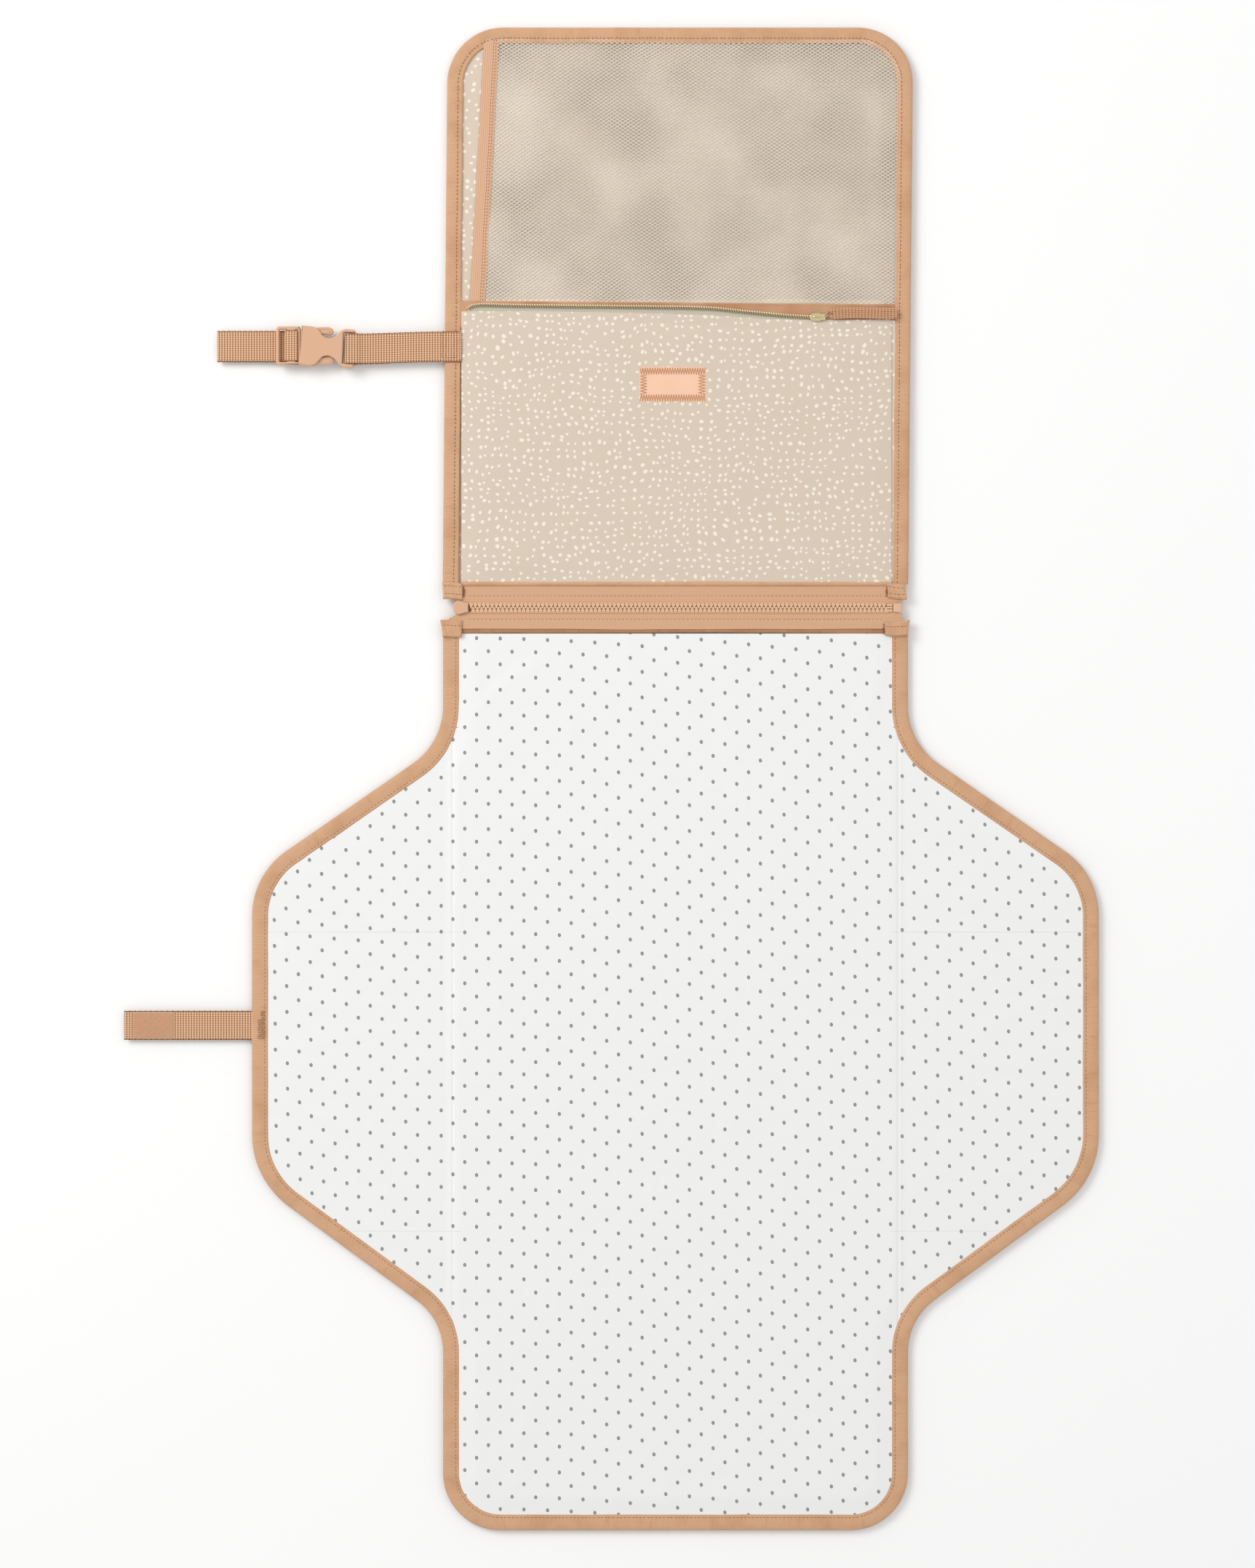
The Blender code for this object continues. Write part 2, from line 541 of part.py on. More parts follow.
female = flat("buckle_female", "moulded", [both_sides(
    [(-207.0, 11.2), (-208.5, 12.0), (-213.5, 12.0), (-216.0, 11.0), (-218.5, 8.3), (-221.0, 6.4),
     (-223.5, 5.9), (-226.5, 6.6), (-229.0, 8.6), (-231.0, 11.0), (-233.0, 12.2), (-236.0, 12.7),
     (-241.4, 12.7), (-242.0, 12.2)])], BK_Z0, BK_Z1, empty=strap_axis)
female = as_mesh(female)
cut(female, (-243 * MM, STRAP_Y - 12.1 * MM, STRAP_Z - 1.9 * MM), (-219.5 * MM, STRAP_Y + 12.1 * MM, STRAP_Z + 1.9 * MM))
cut(female, (-216.0 * MM, STRAP_Y - 10.3 * MM, STRAP_Z - 5 * MM), (-211.3 * MM, STRAP_Y + 10.3 * MM, STRAP_Z + 5 * MM))
cut(female, (-211.4 * MM, STRAP_Y - 10.3 * MM, STRAP_Z + 1.2 * MM), (-206.0 * MM, STRAP_Y + 10.3 * MM, STRAP_Z + 5 * MM))
cut(female, (-211.4 * MM, STRAP_Y - 10.3 * MM, STRAP_Z - 5 * MM), (-206.0 * MM, STRAP_Y + 10.3 * MM, STRAP_Z - 1.2 * MM))

male_axis = axis_empty("buckle_slide_axis", (-242.0 * MM, STRAP_Y, STRAP_Z), strap_axis)
male = flat("buckle_male", "moulded",
            [both_sides([(-223.0, 1.5), (-239.0, 1.5), (-239.0, 11.5), (-242.3, 11.5), (-242.3, 12.5),
                         (-257.2, 12.5), (-258.0, 11.7)]),
             list(reversed(both_sides([(-243.2, 10.4), (-245.0, 10.4)]))),
             list(reversed(both_sides([(-250.6, 10.4), (-255.9, 10.4)])))],
            STRAP_Z - 1.5 * MM, STRAP_Z + 1.5 * MM, empty=male_axis)
PRONG_X = -238.7 * MM
for hand, sign in (("top", 1), ("bottom", -1)):
    empty = axis_empty("prong_%s_axis" % hand, (PRONG_X, STRAP_Y + sign * 9.2 * MM, STRAP_Z), male_axis)
    arm = [(-238.6, 10.0), (-238.6, 8.4), (-233.5, 7.6), (-222.5, 7.2), (-220.4, 9.0), (-221.0, 11.6),
           (-223.0, 11.9), (-231.5, 11.9), (-233.2, 11.0), (-236.0, 10.4)]
    outline = [(x * MM, STRAP_Y + sign * y * MM) for x, y in arm]
    if sign < 0:
        outline.reverse()
    flat("buckle_prong_" + hand, "moulded", [outline], STRAP_Z - 1.5 * MM, STRAP_Z + 1.5 * MM, empty=empty)

# a closed loop: up through the plug's window, over its bar and back under it
web("loop_webbing",
    [(-252.1, 2.15), (-252.1, 5.9), (-251.4, 6.6), (-244.2, 6.6), (-243.5, 5.9), (-243.5, 0.8), (-244.2, 0.1),
     (-295.6, 0.1), (-296.8, 0.6), (-296.8, 1.65), (-295.6, 2.15)],
    [(-251.2, 1.25), (-251.2, 5.7), (-244.4, 5.7), (-244.4, 1.0), (-295.3, 1.0), (-295.3, 1.25)],
    male_axis)

bpy.context.view_layer.update()
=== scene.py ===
"""Looks of the folding changing pad: film, fabric, bindings, zips, webbing and buckle, built round the CAD frame."""
import json
import math

import bmesh
import bpy
import numpy as np
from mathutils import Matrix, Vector


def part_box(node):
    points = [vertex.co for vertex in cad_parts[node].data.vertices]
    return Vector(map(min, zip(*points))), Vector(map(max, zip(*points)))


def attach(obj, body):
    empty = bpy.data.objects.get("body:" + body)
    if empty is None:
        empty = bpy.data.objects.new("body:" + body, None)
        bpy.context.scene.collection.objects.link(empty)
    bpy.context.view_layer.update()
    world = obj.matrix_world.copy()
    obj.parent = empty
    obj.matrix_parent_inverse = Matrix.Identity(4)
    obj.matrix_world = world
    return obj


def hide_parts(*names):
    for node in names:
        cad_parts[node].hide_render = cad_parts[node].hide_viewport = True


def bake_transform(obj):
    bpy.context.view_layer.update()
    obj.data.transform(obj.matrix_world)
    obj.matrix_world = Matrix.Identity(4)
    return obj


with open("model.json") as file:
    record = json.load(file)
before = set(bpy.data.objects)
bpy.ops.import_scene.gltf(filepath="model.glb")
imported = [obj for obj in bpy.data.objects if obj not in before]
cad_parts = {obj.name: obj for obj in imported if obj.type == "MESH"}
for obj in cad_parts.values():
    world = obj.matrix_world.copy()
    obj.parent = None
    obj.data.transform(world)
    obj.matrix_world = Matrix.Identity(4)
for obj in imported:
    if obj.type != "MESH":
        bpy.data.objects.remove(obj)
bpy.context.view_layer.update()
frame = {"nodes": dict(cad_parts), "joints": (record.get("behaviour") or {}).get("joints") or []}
MM = 0.001
TAU = 2 * math.pi

# ------------------------------------------------------------------ measures, all taken from the CAD frame
FB = {n: (np.array(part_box(n)[0]), np.array(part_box(n)[1])) for n in frame["nodes"]}


def lo(n):
    return FB[n][0]


def hi(n):
    return FB[n][1]


JOINT = {j["name"]: j for j in frame["joints"]}
THIRD = JOINT["upper_fold"]["pos_m"][1]
WING_LINE = JOINT["right_wing_fold"]["pos_m"][0]
FOLD_Y = JOINT["clutch_fold"]["pos_m"][1]
ZIP_HINGE_Y = JOINT["zip_fold"]["pos_m"][1]
ZIP_Y = (lo("zip_slider")[1] + hi("zip_slider")[1]) / 2
PAD_TOP = hi("pad_head_binding_right")[1]
PAD_BOTTOM = lo("pad_foot_binding")[1]
COL_HALF = hi("pad_foot_binding")[0]
WING_HALF = hi("right_wing_middle_binding")[0]
CL_HALF = hi("flap_binding")[0]
FLAP_HIGH = hi("flap_binding")[1]
BASE_LOW = lo("base_pocket_front")[1]
COL_T = hi("pad_middle_top_sheet")[2]
WING_T = hi("right_wing_middle_panel")[2]
BIND_T = hi("right_wing_middle_binding")[2]
CL_T = hi("flap_binding")[2]
STRAP_Y = (lo("strap_webbing")[1] + hi("strap_webbing")[1]) / 2
HOOK_Y = (lo("hook_strap_webbing")[1] + hi("hook_strap_webbing")[1]) / 2
BIND = 10.0 * MM

rng = np.random.default_rng(7)


# ------------------------------------------------------------------ numbers
def smooth(t):
    t = np.clip(t, 0, 1)
    return t * t * (3 - 2 * t)


def step(x, a, b):
    return smooth((np.asarray(x, float) - a) / (b - a))


def wave(x, seed, scale):
    """A smooth one-dimensional noise, about -1..1."""
    x = np.asarray(x, float) / scale
    return (np.sin(x * 2.1 + seed * 1.7) + 0.6 * np.sin(x * 4.7 + seed * 3.1) + 0.4 * np.sin(x * 9.3 + seed * 5.3)) / 2.0


def rounded(corners, steps=24):
    out = []
    last = len(corners) - 1
    for i, (x, y, r) in enumerate(corners):
        if r <= 0 or i in (0, last):
            out.append((x, y))
            continue
        here = Vector((x, y))
        back = (Vector(corners[i - 1][:2]) - here).normalized()
        ahead = (Vector(corners[i + 1][:2]) - here).normalized()
        half = math.acos(max(-1, min(1, back.dot(ahead)))) / 2
        reach = r / math.tan(half)
        centre = here + (back + ahead).normalized() * (r / math.sin(half))
        a, b = here + back * reach - centre, here + ahead * reach - centre
        start, end = math.atan2(a.y, a.x), math.atan2(b.y, b.x)
        sweep = (end - start + math.pi) % TAU - math.pi
        n = max(2, round(steps * abs(sweep) / (math.pi / 2)))
        for k in range(n + 1):
            t = start + sweep * k / n
            out.append((centre.x + r * math.cos(t), centre.y + r * math.sin(t)))
    return np.array(out)


def resample(path, pitch):
    """Points every pitch along a polyline, with unit tangents."""
    path = np.asarray(path, float)
    seg = np.linalg.norm(np.diff(path, axis=0), axis=1)
    keep = np.r_[True, seg > 1e-9]
    path = path[keep]
    s = np.r_[0, np.cumsum(np.linalg.norm(np.diff(path, axis=0), axis=1))]
    n = max(2, int(round(s[-1] / pitch)) + 1)
    q = np.linspace(0, s[-1], n)
    p = np.stack([np.interp(q, s, path[:, k]) for k in range(path.shape[1])], 1)
    t = np.gradient(p, axis=0)
    # smooth tangents, so that arcs made of chords don't kink
    k = max(1, int(round(2.5 * MM / pitch)))
    if n > 4 * k:
        pad = np.concatenate([np.repeat(t[:1], k, 0), t, np.repeat(t[-1:], k, 0)])
        ker = np.ones(2 * k + 1) / (2 * k + 1)
        t = np.stack([np.convolve(pad[:, j], ker, "valid") for j in range(t.shape[1])], 1)
    t /= np.linalg.norm(t, axis=1)[:, None]
    return p, t, q


# ------------------------------------------------------------------ mesh building
class Build:
    """Collects vertices, faces, material indices and the rest coordinates that materials read."""

    def __init__(self):
        self.v, self.f, self.m, self.r, self.n = [], [], [], [], 0

    def add(self, verts, faces, mat=0, rest=None):
        verts = np.asarray(verts, float).reshape(-1, 3)
        faces = np.asarray(faces, int)
        self.v.append(verts)
        self.r.append(verts.copy() if rest is None else np.asarray(rest, float).reshape(-1, 3))
        self.f.append((faces + self.n, mat))
        self.n += len(verts)

    def obj(self, name, mats, smooth_faces=True):
        v = np.concatenate(self.v)
        me = bpy.data.meshes.new(name)
        me.vertices.add(len(v))
        me.vertices.foreach_set("co", v.astype(np.float32).ravel())
        loops = np.concatenate([f.ravel() for f, _ in self.f])
        sizes = np.concatenate([np.full(len(f), f.shape[1]) for f, _ in self.f])
        me.loops.add(len(loops))
        me.loops.foreach_set("vertex_index", loops.astype(np.int32))
        me.polygons.add(len(sizes))
        me.polygons.foreach_set("loop_start", np.r_[0, np.cumsum(sizes)[:-1]].astype(np.int32))
        me.update(calc_edges=True)
        idx = np.concatenate([np.full(len(f), m) for f, m in self.f])
        me.polygons.foreach_set("material_index", idx.astype(np.int32))
        me.polygons.foreach_set("use_smooth", np.full(len(sizes), smooth_faces))
        att = me.attributes.new("rest", "FLOAT_VECTOR", "POINT")
        att.data.foreach_set("vector", np.concatenate(self.r).astype(np.float32).ravel())
        me.validate(clean_customdata=False)
        for m in mats:
            me.materials.append(m)
        o = bpy.data.objects.new(name, me)
        bpy.context.scene.collection.objects.link(o)
        return o


def grid_faces(nu, nv, flip=False, wrap_v=False):
    """Quads of a grid of nu rows of nv points."""
    i, j = np.meshgrid(np.arange(nu - 1), np.arange(nv if wrap_v else nv - 1), indexing="ij")
    j2 = (j + 1) % nv
    f = np.stack([i * nv + j, (i + 1) * nv + j, (i + 1) * nv + j2, i * nv + j2], -1).reshape(-1, 4)
    return f[:, ::-1] if flip else f


def volume(v, f):
    t = np.concatenate([f[:, [0, 1, 2]], f[:, [0, 2, 3]]]) if f.shape[1] == 4 else f
    a, b, c = v[t[:, 0]], v[t[:, 1]], v[t[:, 2]]
    return np.einsum("ij,ij->i", a, np.cross(b, c)).sum() / 6


def tube(build, rings, mat=0, rest=None, caps=True):
    """A closed tube through rings (n, m, 3). Each end is capped with a fan from its middle."""
    rings = np.asarray(rings, float)
    n, m, _ = rings.shape
    v = rings.reshape(-1, 3)
    f = grid_faces(n, m, wrap_v=True)
    r = v if rest is None else np.asarray(rest, float).reshape(-1, 3)
    flip = volume(v, f) < 0
    build.add(v, f[:, ::-1] if flip else f, mat, r)
    if caps:
        for end, ring in ((0, 0), (1, n - 1)):
            c = rings[ring].mean(0)
            base = np.r_[rings[ring], c[None]]
            rr = r.reshape(n, m, 3)[ring]
            rr = np.r_[rr, rr.mean(0)[None]]
            k = np.arange(m)
            tri = np.stack([k, (k + 1) % m, np.full(m, m)], 1)
            if (end == 0) == flip:
                tri = tri[:, ::-1]
            build.add(base, tri[:, ::-1] if False else tri, mat, rr)


def slab(build, top, bottom, mat_top=0, mat_bottom=0, mat_side=None, rest=None, rest_bottom=None):
    """A closed sheet between two grids of the same shape (nu, nv, 3)."""
    mat_side = mat_top if mat_side is None else mat_side
    nu, nv, _ = top.shape
    t, b = top.reshape(-1, 3), bottom.reshape(-1, 3)
    f = grid_faces(nu, nv)
    n = np.cross(t[f[0, 1]] - t[f[0, 0]], t[f[0, 2]] - t[f[0, 0]])
    up = n[2] > 0
    rt = t if rest is None else rest.reshape(-1, 3)
    rb = b if rest_bottom is None else rest_bottom.reshape(-1, 3)
    build.add(t, f if up else f[:, ::-1], mat_top, rt)
    build.add(b, f[:, ::-1] if up else f, mat_bottom, rb)
    edge = np.concatenate([np.arange(nv), np.arange(1, nu) * nv + nv - 1,
                           (nu - 1) * nv + np.arange(nv - 2, -1, -1), np.arange(nu - 2, 0, -1) * nv])
    k = len(edge)
    a = np.arange(k)
    side = np.stack([a, (a + 1) % k, (a + 1) % k + k, a + k], 1)
    v = np.r_[t[edge], b[edge]]
    mid = t.mean(0)
    q = side[0]
    nrm = np.cross(v[q[1]] - v[q[0]], v[q[2]] - v[q[0]])
    if np.dot(nrm[:2], (v[q[0]] - mid)[:2]) < 0:
        side = side[:, ::-1]
    build.add(v, side, mat_side, np.r_[rt[edge], rt[edge]])


# ------------------------------------------------------------------ materials
class Mat:
    """A small node-graph writer over one Principled material."""

    def __init__(self, name, color=(0.8, 0.8, 0.8), rough=0.6, metal=0.0, sheen=0.0, spec=0.5):
        self.m = bpy.data.materials.new(name)
        self.m.use_nodes = True
        self.t = self.m.node_tree
        self.b = self.t.nodes["Principled BSDF"]
        self.set("Base Color", (*color, 1))
        self.set("Roughness", rough)
        self.set("Metallic", metal)
        self.set("Specular IOR Level", spec)
        if sheen:
            self.set("Sheen Weight", sheen)
            self.set("Sheen Roughness", 0.5)
        self.m.diffuse_color = (*color, 1)
        self._rest = None

    def set(self, name, value):
        s = self.b.inputs[name]
        if hasattr(value, "is_linked"):
            self.t.links.new(value, s)
        else:
            s.default_value = value

    def _in(self, sock, value):
        if hasattr(value, "is_linked"):
            self.t.links.new(value, sock)
        elif value is not None:
            sock.default_value = value

    def rest(self):
        if self._rest is None:
            a = self.t.nodes.new("ShaderNodeAttribute")
            a.attribute_name = "rest"
            s = self.t.nodes.new("ShaderNodeSeparateXYZ")
            self.t.links.new(a.outputs["Vector"], s.inputs[0])
            self._rest = (a.outputs["Vector"], s.outputs[0], s.outputs[1], s.outputs[2])
        return self._rest

    def math(self, op, a, b=None, c=None, clamp=False):
        n = self.t.nodes.new("ShaderNodeMath")
        n.operation = op
        n.use_clamp = clamp
        for k, x in enumerate((a, b, c)):
            if x is not None:
                self._in(n.inputs[k], x)
        return n.outputs[0]

    def vec(self, x, y, z=0.0):
        n = self.t.nodes.new("ShaderNodeCombineXYZ")
        for k, q in enumerate((x, y, z)):
            self._in(n.inputs[k], q)
        return n.outputs[0]

    def noise(self, vector, scale, detail=2.0, rough=0.5, dims="3D"):
        n = self.t.nodes.new("ShaderNodeTexNoise")
        n.noise_dimensions = dims
        self._in(n.inputs["Vector"], vector)
        n.inputs["Scale"].default_value = scale
        n.inputs["Detail"].default_value = detail
        n.inputs["Roughness"].default_value = rough
        return n.outputs["Fac"], n.outputs["Color"]

    def voronoi(self, vector, scale, randomness=1.0, feature="F1"):
        n = self.t.nodes.new("ShaderNodeTexVoronoi")
        n.voronoi_dimensions = "2D"
        n.feature = feature
        self._in(n.inputs["Vector"], vector)
        n.inputs["Scale"].default_value = scale
        n.inputs["Randomness"].default_value = randomness
        return n.outputs["Distance"], n.outputs.get("Color")

    def ramp(self, value, a, b):
        """0 below a, 1 above b, smooth between."""
        n = self.t.nodes.new("ShaderNodeMapRange")
        n.interpolation_type = "SMOOTHSTEP"
        self._in(n.inputs[0], value)
        n.inputs[1].default_value = a
        n.inputs[2].default_value = b
        return n.outputs[0]

    def mix(self, fac, a, b, kind="MIX"):
        n = self.t.nodes.new("ShaderNodeMix")
        n.data_type = "RGBA"
        n.blend_type = kind
        self._in(n.inputs[0], fac)
        for k, x in ((6, a), (7, b)):
            if hasattr(x, "is_linked"):
                self.t.links.new(x, n.inputs[k])
            else:
                n.inputs[k].default_value = (*x, 1) if len(x) == 3 else x
        return n.outputs[2]

    def bump(self, height, distance, strength=1.0, prev=None):
        n = self.t.nodes.new("ShaderNodeBump")
        n.inputs["Strength"].default_value = strength
        n.inputs["Distance"].default_value = distance
        self._in(n.inputs["Height"], height)
        if prev is not None:
            self.t.links.new(prev, n.inputs["Normal"])
        return n.outputs[0]

    def sine(self, coord, pitch, phase=0.0):
        """0..1 wave of a coordinate in metres."""
        x = self.math("MULTIPLY_ADD", coord, TAU / pitch, phase)
        return self.math("MULTIPLY_ADD", self.math("SINE", x), 0.5, 0.5)


def srgb(r, g, b):
    out = []
    for c in (r, g, b):
        c /= 255
        out.append(c / 12.92 if c <= 0.04045 else ((c + 0.055) / 1.055) ** 2.4)
    return tuple(out)


def peva():
    """White film: staggered grey dots on gently curving rows, soft sheen, fine creases."""
    m = Mat("peva_film", srgb(243, 243, 244), 0.34, spec=0.5)
    _, x, y, drop = m.rest()          # the third rest coordinate is how far the rows drop there
    nz, _ = m.noise(m.vec(x, y, 0.0), 9.0, 2.0)
    drop = m.math("ADD", drop, m.math("MULTIPLY_ADD", nz, 0.0030, -0.0015))
    px, py = 15.28 * MM, 16.56 * MM
    x0, y0 = -128.5 * MM, 287.17 * MM
    u = m.math("MULTIPLY_ADD", x, 1 / px, -x0 / px + 100)
    v = m.math("MULTIPLY_ADD", m.math("ADD", y, drop), 1 / py, -y0 / py + 100)
    best = None
    for shift in (0.0, 0.5):
        fu = m.math("SUBTRACT", m.math("FRACT", m.math("ADD", u, 0.5 + shift)), 0.5)
        fv = m.math("SUBTRACT", m.math("FRACT", m.math("ADD", v, 0.5 + shift)), 0.5)
        du = m.math("MULTIPLY", fu, px / (1.10 * MM))
        dv = m.math("MULTIPLY", fv, py / (1.34 * MM))
        d = m.math("SQRT", m.math("ADD", m.math("MULTIPLY", du, du), m.math("MULTIPLY", dv, dv)))
        best = d if best is None else m.math("MINIMUM", best, d)
    fine, _ = m.noise(m.rest()[0], 2200, 1.0)
    best = m.math("ADD", best, m.math("MULTIPLY_ADD", fine, 0.16, -0.08))
    dot = m.math("SUBTRACT", 1.0, m.ramp(best, 0.86, 1.10))
    tint, _ = m.noise(m.rest()[0], 60, 3.0)
    white = m.mix(m.math("MULTIPLY", tint, 0.5), srgb(236, 236, 235), srgb(233, 233, 233))
    grey = m.mix(fine, srgb(132, 132, 132), srgb(152, 152, 152))
    m.set("Base Color", m.mix(dot, white, grey))
    soft, _ = m.noise(m.rest()[0], 38, 3.0, 0.55)
    tiny, _ = m.noise(m.rest()[0], 900, 2.0)
    m.set("Roughness", m.math("MULTIPLY_ADD", soft, 0.16, 0.27))
    b = m.bump(soft, 0.0018, 0.35)
    b = m.bump(tiny, 0.00006, 0.5, b)
    m.set("Normal", b)
    m.set("Coat Weight", 0.10)
    m.set("Coat Roughness", 0.22)
    return m.m


def dotted():
    """Beige plain weave printed with irregular off-white dots that drift in curved rows."""
    m = Mat("dotted_beige", srgb(222, 208, 190), 0.86, sheen=0.15, spec=0.25)
    vec, x, y, _ = m.rest()
    n1, _ = m.noise(m.vec(x, y, 0.0), 22, 2.0)
    n2, _ = m.noise(m.vec(x, y, 0.37), 22, 2.0)
    wx = m.math("MULTIPLY_ADD", m.math("SUBTRACT", n1, 0.5), 0.016, x)
    wy = m.math("MULTIPLY_ADD", m.math("SUBTRACT", n2, 0.5), 0.016, y)
    d, col = m.voronoi(m.vec(wx, wy, 0.0), 1 / (5.15 * MM), 0.62)
    sep = m.t.nodes.new("ShaderNodeSeparateColor")
    m.t.links.new(col, sep.inputs[0])
    size = m.math("MULTIPLY_ADD", sep.outputs[0], 0.08, 0.155)
    gone = m.math("GREATER_THAN", sep.outputs[1], 0.95)
    size = m.math("SUBTRACT", size, m.math("MULTIPLY", gone, 0.5))
    edge, _ = m.noise(m.vec(x, y, 0.0), 900, 2.0)
    d = m.math("ADD", d, m.math("MULTIPLY_ADD", edge, 0.10, -0.05))
    dot = m.math("SUBTRACT", 1.0, m.ramp(m.math("SUBTRACT", d, size), -0.07, 0.05))
    thread, _ = m.noise(m.vec(m.math("MULTIPLY", x, 5.0), y, 0.0), 700, 2.0)
    base = m.mix(thread, srgb(206, 191, 172), srgb(216, 202, 184))
    blotch, _ = m.noise(m.vec(x, y, 0.0), 25, 2.0)
    base = m.mix(m.math("MULTIPLY", blotch, 0.5), base, srgb(219, 202, 186))
    m.set("Base Color", m.mix(dot, base, srgb(241, 231, 216)))
    wx2 = m.sine(x, 0.42 * MM)
    wy2 = m.sine(y, 0.42 * MM)
    weave = m.math("MULTIPLY", wx2, wy2)
    b = m.bump(weave, 0.00007, 0.8)
    b = m.bump(dot, 0.00004, 0.5, b)
    m.set("Normal", b)
    return m.m


def taupe():
    """Plain cloth behind the net."""
    m = Mat("plain_taupe", srgb(196, 182, 162), 0.85, sheen=0.2, spec=0.25)
    vec, x, y, _ = m.rest()
    big, _ = m.noise(m.vec(x, y, 0.0), 16, 3.0)
    fine, _ = m.noise(m.vec(x, y, 0.0), 900, 2.0)
    c = m.mix(m.ramp(big, 0.3, 0.7), srgb(188, 173, 153), srgb(222, 207, 189))
    m.set("Base Color", m.mix(m.math("MULTIPLY", fine, 0.25), c, srgb(222, 208, 190)))
    m.set("Normal", m.bump(m.math("MULTIPLY", m.sine(x, 0.42 * MM), m.sine(y, 0.42 * MM)), 0.00007, 0.8))
    return m.m


def ribbed(name, color, dark, pitch=1.05 * MM, axis=1, depth=0.00012, rough=0.78):
    """Grosgrain: ribs across the tape. The rest coordinate holds run, across, height."""
    m = Mat(name, color, rough, sheen=0.25, spec=0.3)
    vec, s, d, z = m.rest()
    rib = m.sine(s if axis == 1 else d, pitch)
    thread = m.sine(d if axis == 1 else s, 0.34 * MM)
    vary, _ = m.noise(vec, 55, 3.0)
    fine, _ = m.noise(vec, 1800, 2.0)
    c = m.mix(m.ramp(vary, 0.42, 0.72), color, m.mix(0.55, color, dark))
    warm, _ = m.noise(vec, 130, 2.0)
    c = m.mix(m.math("MULTIPLY", m.ramp(warm, 0.5, 0.8), 0.35), c, srgb(208, 156, 126))
    # painted shade: the stretched fold noise darkens the tape's creases and puckers in its colour; the same noise also
    # bumps them
    fold, _ = m.noise(m.vec(m.math("MULTIPLY", s, 1.0), m.math("MULTIPLY", d, 0.4), 0.0), 210, 3.0)
    c = m.mix(m.math("MULTIPLY", m.ramp(fold, 0.54, 0.78), 0.55), c, dark)
    # painted shade: the colour darkens in the grooves between the ribs, where the bump height is low
    c = m.mix(m.math("MULTIPLY_ADD", rib, -0.55, 0.55, clamp=True), c, dark)
    c = m.mix(m.math("MULTIPLY", fine, 0.16), c, tuple(min(1, q * 1.25) for q in color))
    m.set("Base Color", c)
    h = m.math("MULTIPLY_ADD", thread, 0.35, rib)
    b = m.bump(h, depth, 0.9)
    b = m.bump(fine, 0.00005, 0.5, b)
    m.set("Normal", m.bump(fold, 0.0009, 0.6, b))
    return m.m


def plain(name, color, rough, noise_scale=400, depth=0.00003, metal=0.0, vary=0.10, spec=0.5, coat=0.0):
    m = Mat(name, color, rough, metal, spec=spec)
    vec = m.rest()[0]
    n, _ = m.noise(vec, noise_scale, 3.0)
    v, _ = m.noise(vec, 60, 3.0)
    c2 = tuple(q * 0.86 for q in color)
    m.set("Base Color", m.mix(m.math("MULTIPLY", v, vary * 5, clamp=True), color, c2))
    m.set("Roughness", m.math("MULTIPLY_ADD", v, 0.16, rough - 0.08))
    m.set("Normal", m.bump(n, depth, 0.6))
    if coat:
        m.set("Coat Weight", coat)
        m.set("Coat Roughness", 0.3)
    return m.m


TAN = srgb(214, 170, 134)
TAN_DARK = srgb(190, 142, 103)
WEB = srgb(203, 160, 124)
WEB_DARK = srgb(150, 104, 68)
M_PEVA = peva()
M_DOT = dotted()
M_TAUPE = taupe()
M_BIND = ribbed("grosgrain_binding", TAN, TAN_DARK)
M_TAB = ribbed("grosgrain_tab", TAN, TAN_DARK, 0.9 * MM, axis=2)
M_THREAD = plain("thread_tan", srgb(176, 128, 92), 0.8, 1500, 0.00004)
M_THREAD_DARK = plain("thread_shadow", srgb(138, 92, 60), 0.85, 1500, 0.00004)
M_THREAD_CREAM = plain("thread_cream", srgb(214, 198, 172), 0.8, 1500, 0.00004)
M_MOULD = plain("moulded_tan", srgb(214, 170, 137), 0.36, 700, 0.000012, vary=0.05, spec=0.45)
M_TEETH = plain("moulded_teeth", srgb(222, 178, 142), 0.38, 900, 0.00002, vary=0.06)
def coil_material():
    m = Mat("pale_coil", srgb(214, 200, 166), 0.4, spec=0.5)
    vec, c, _, _ = m.rest()
    # painted light and shade: each turn is coloured pale on its upper end and olive on its lower half, by rest x, the
    # cosine of the turn
    m.set("Base Color", m.mix(m.ramp(c, -0.1, 0.9), srgb(168, 152, 118), srgb(240, 222, 182)))
    n, _ = m.noise(vec, 40, 2.0)
    m.set("Normal", m.bump(n, 0.00002, 0.3))
    return m.m


M_COIL = coil_material()
M_METAL = plain("pale_gold", srgb(228, 212, 170), 0.22, 900, 0.00001, metal=1.0)
M_FOAM = plain("foam_edge", srgb(238, 237, 232), 0.95, 1500, 0.0001)

# ------------------------------------------------------------------ outlines
SIDE = [(COL_HALF, PAD_TOP, 0), (COL_HALF, 219.3 * MM, 45 * MM), (WING_HALF, 133.9 * MM, 51 * MM),
        (WING_HALF, -63.2 * MM, 57 * MM), (COL_HALF, -153.9 * MM, 42 * MM),
        (COL_HALF, PAD_BOTTOM, 37 * MM), (0, PAD_BOTTOM, 0)]
EDGE = rounded(SIDE)


def part_of(path, test):
    """The run of path points that pass a test."""
    keep = np.array([test(p) for p in path])
    idx = np.where(keep)[0]
    return path[idx[0]:idx[-1] + 1]


fine_edge, _, _ = resample(EDGE, 0.5 * MM)


def edge_x(y, d):
    """Half width of the pad at height y, inside its outer edge by d."""
    p, t, _ = resample(EDGE, 1.0 * MM)
    q = p + np.stack([t[:, 1], -t[:, 0]], 1) * d
    order = np.argsort(q[:, 1], kind="stable")
    return np.interp(y, q[order, 1], q[order, 0])


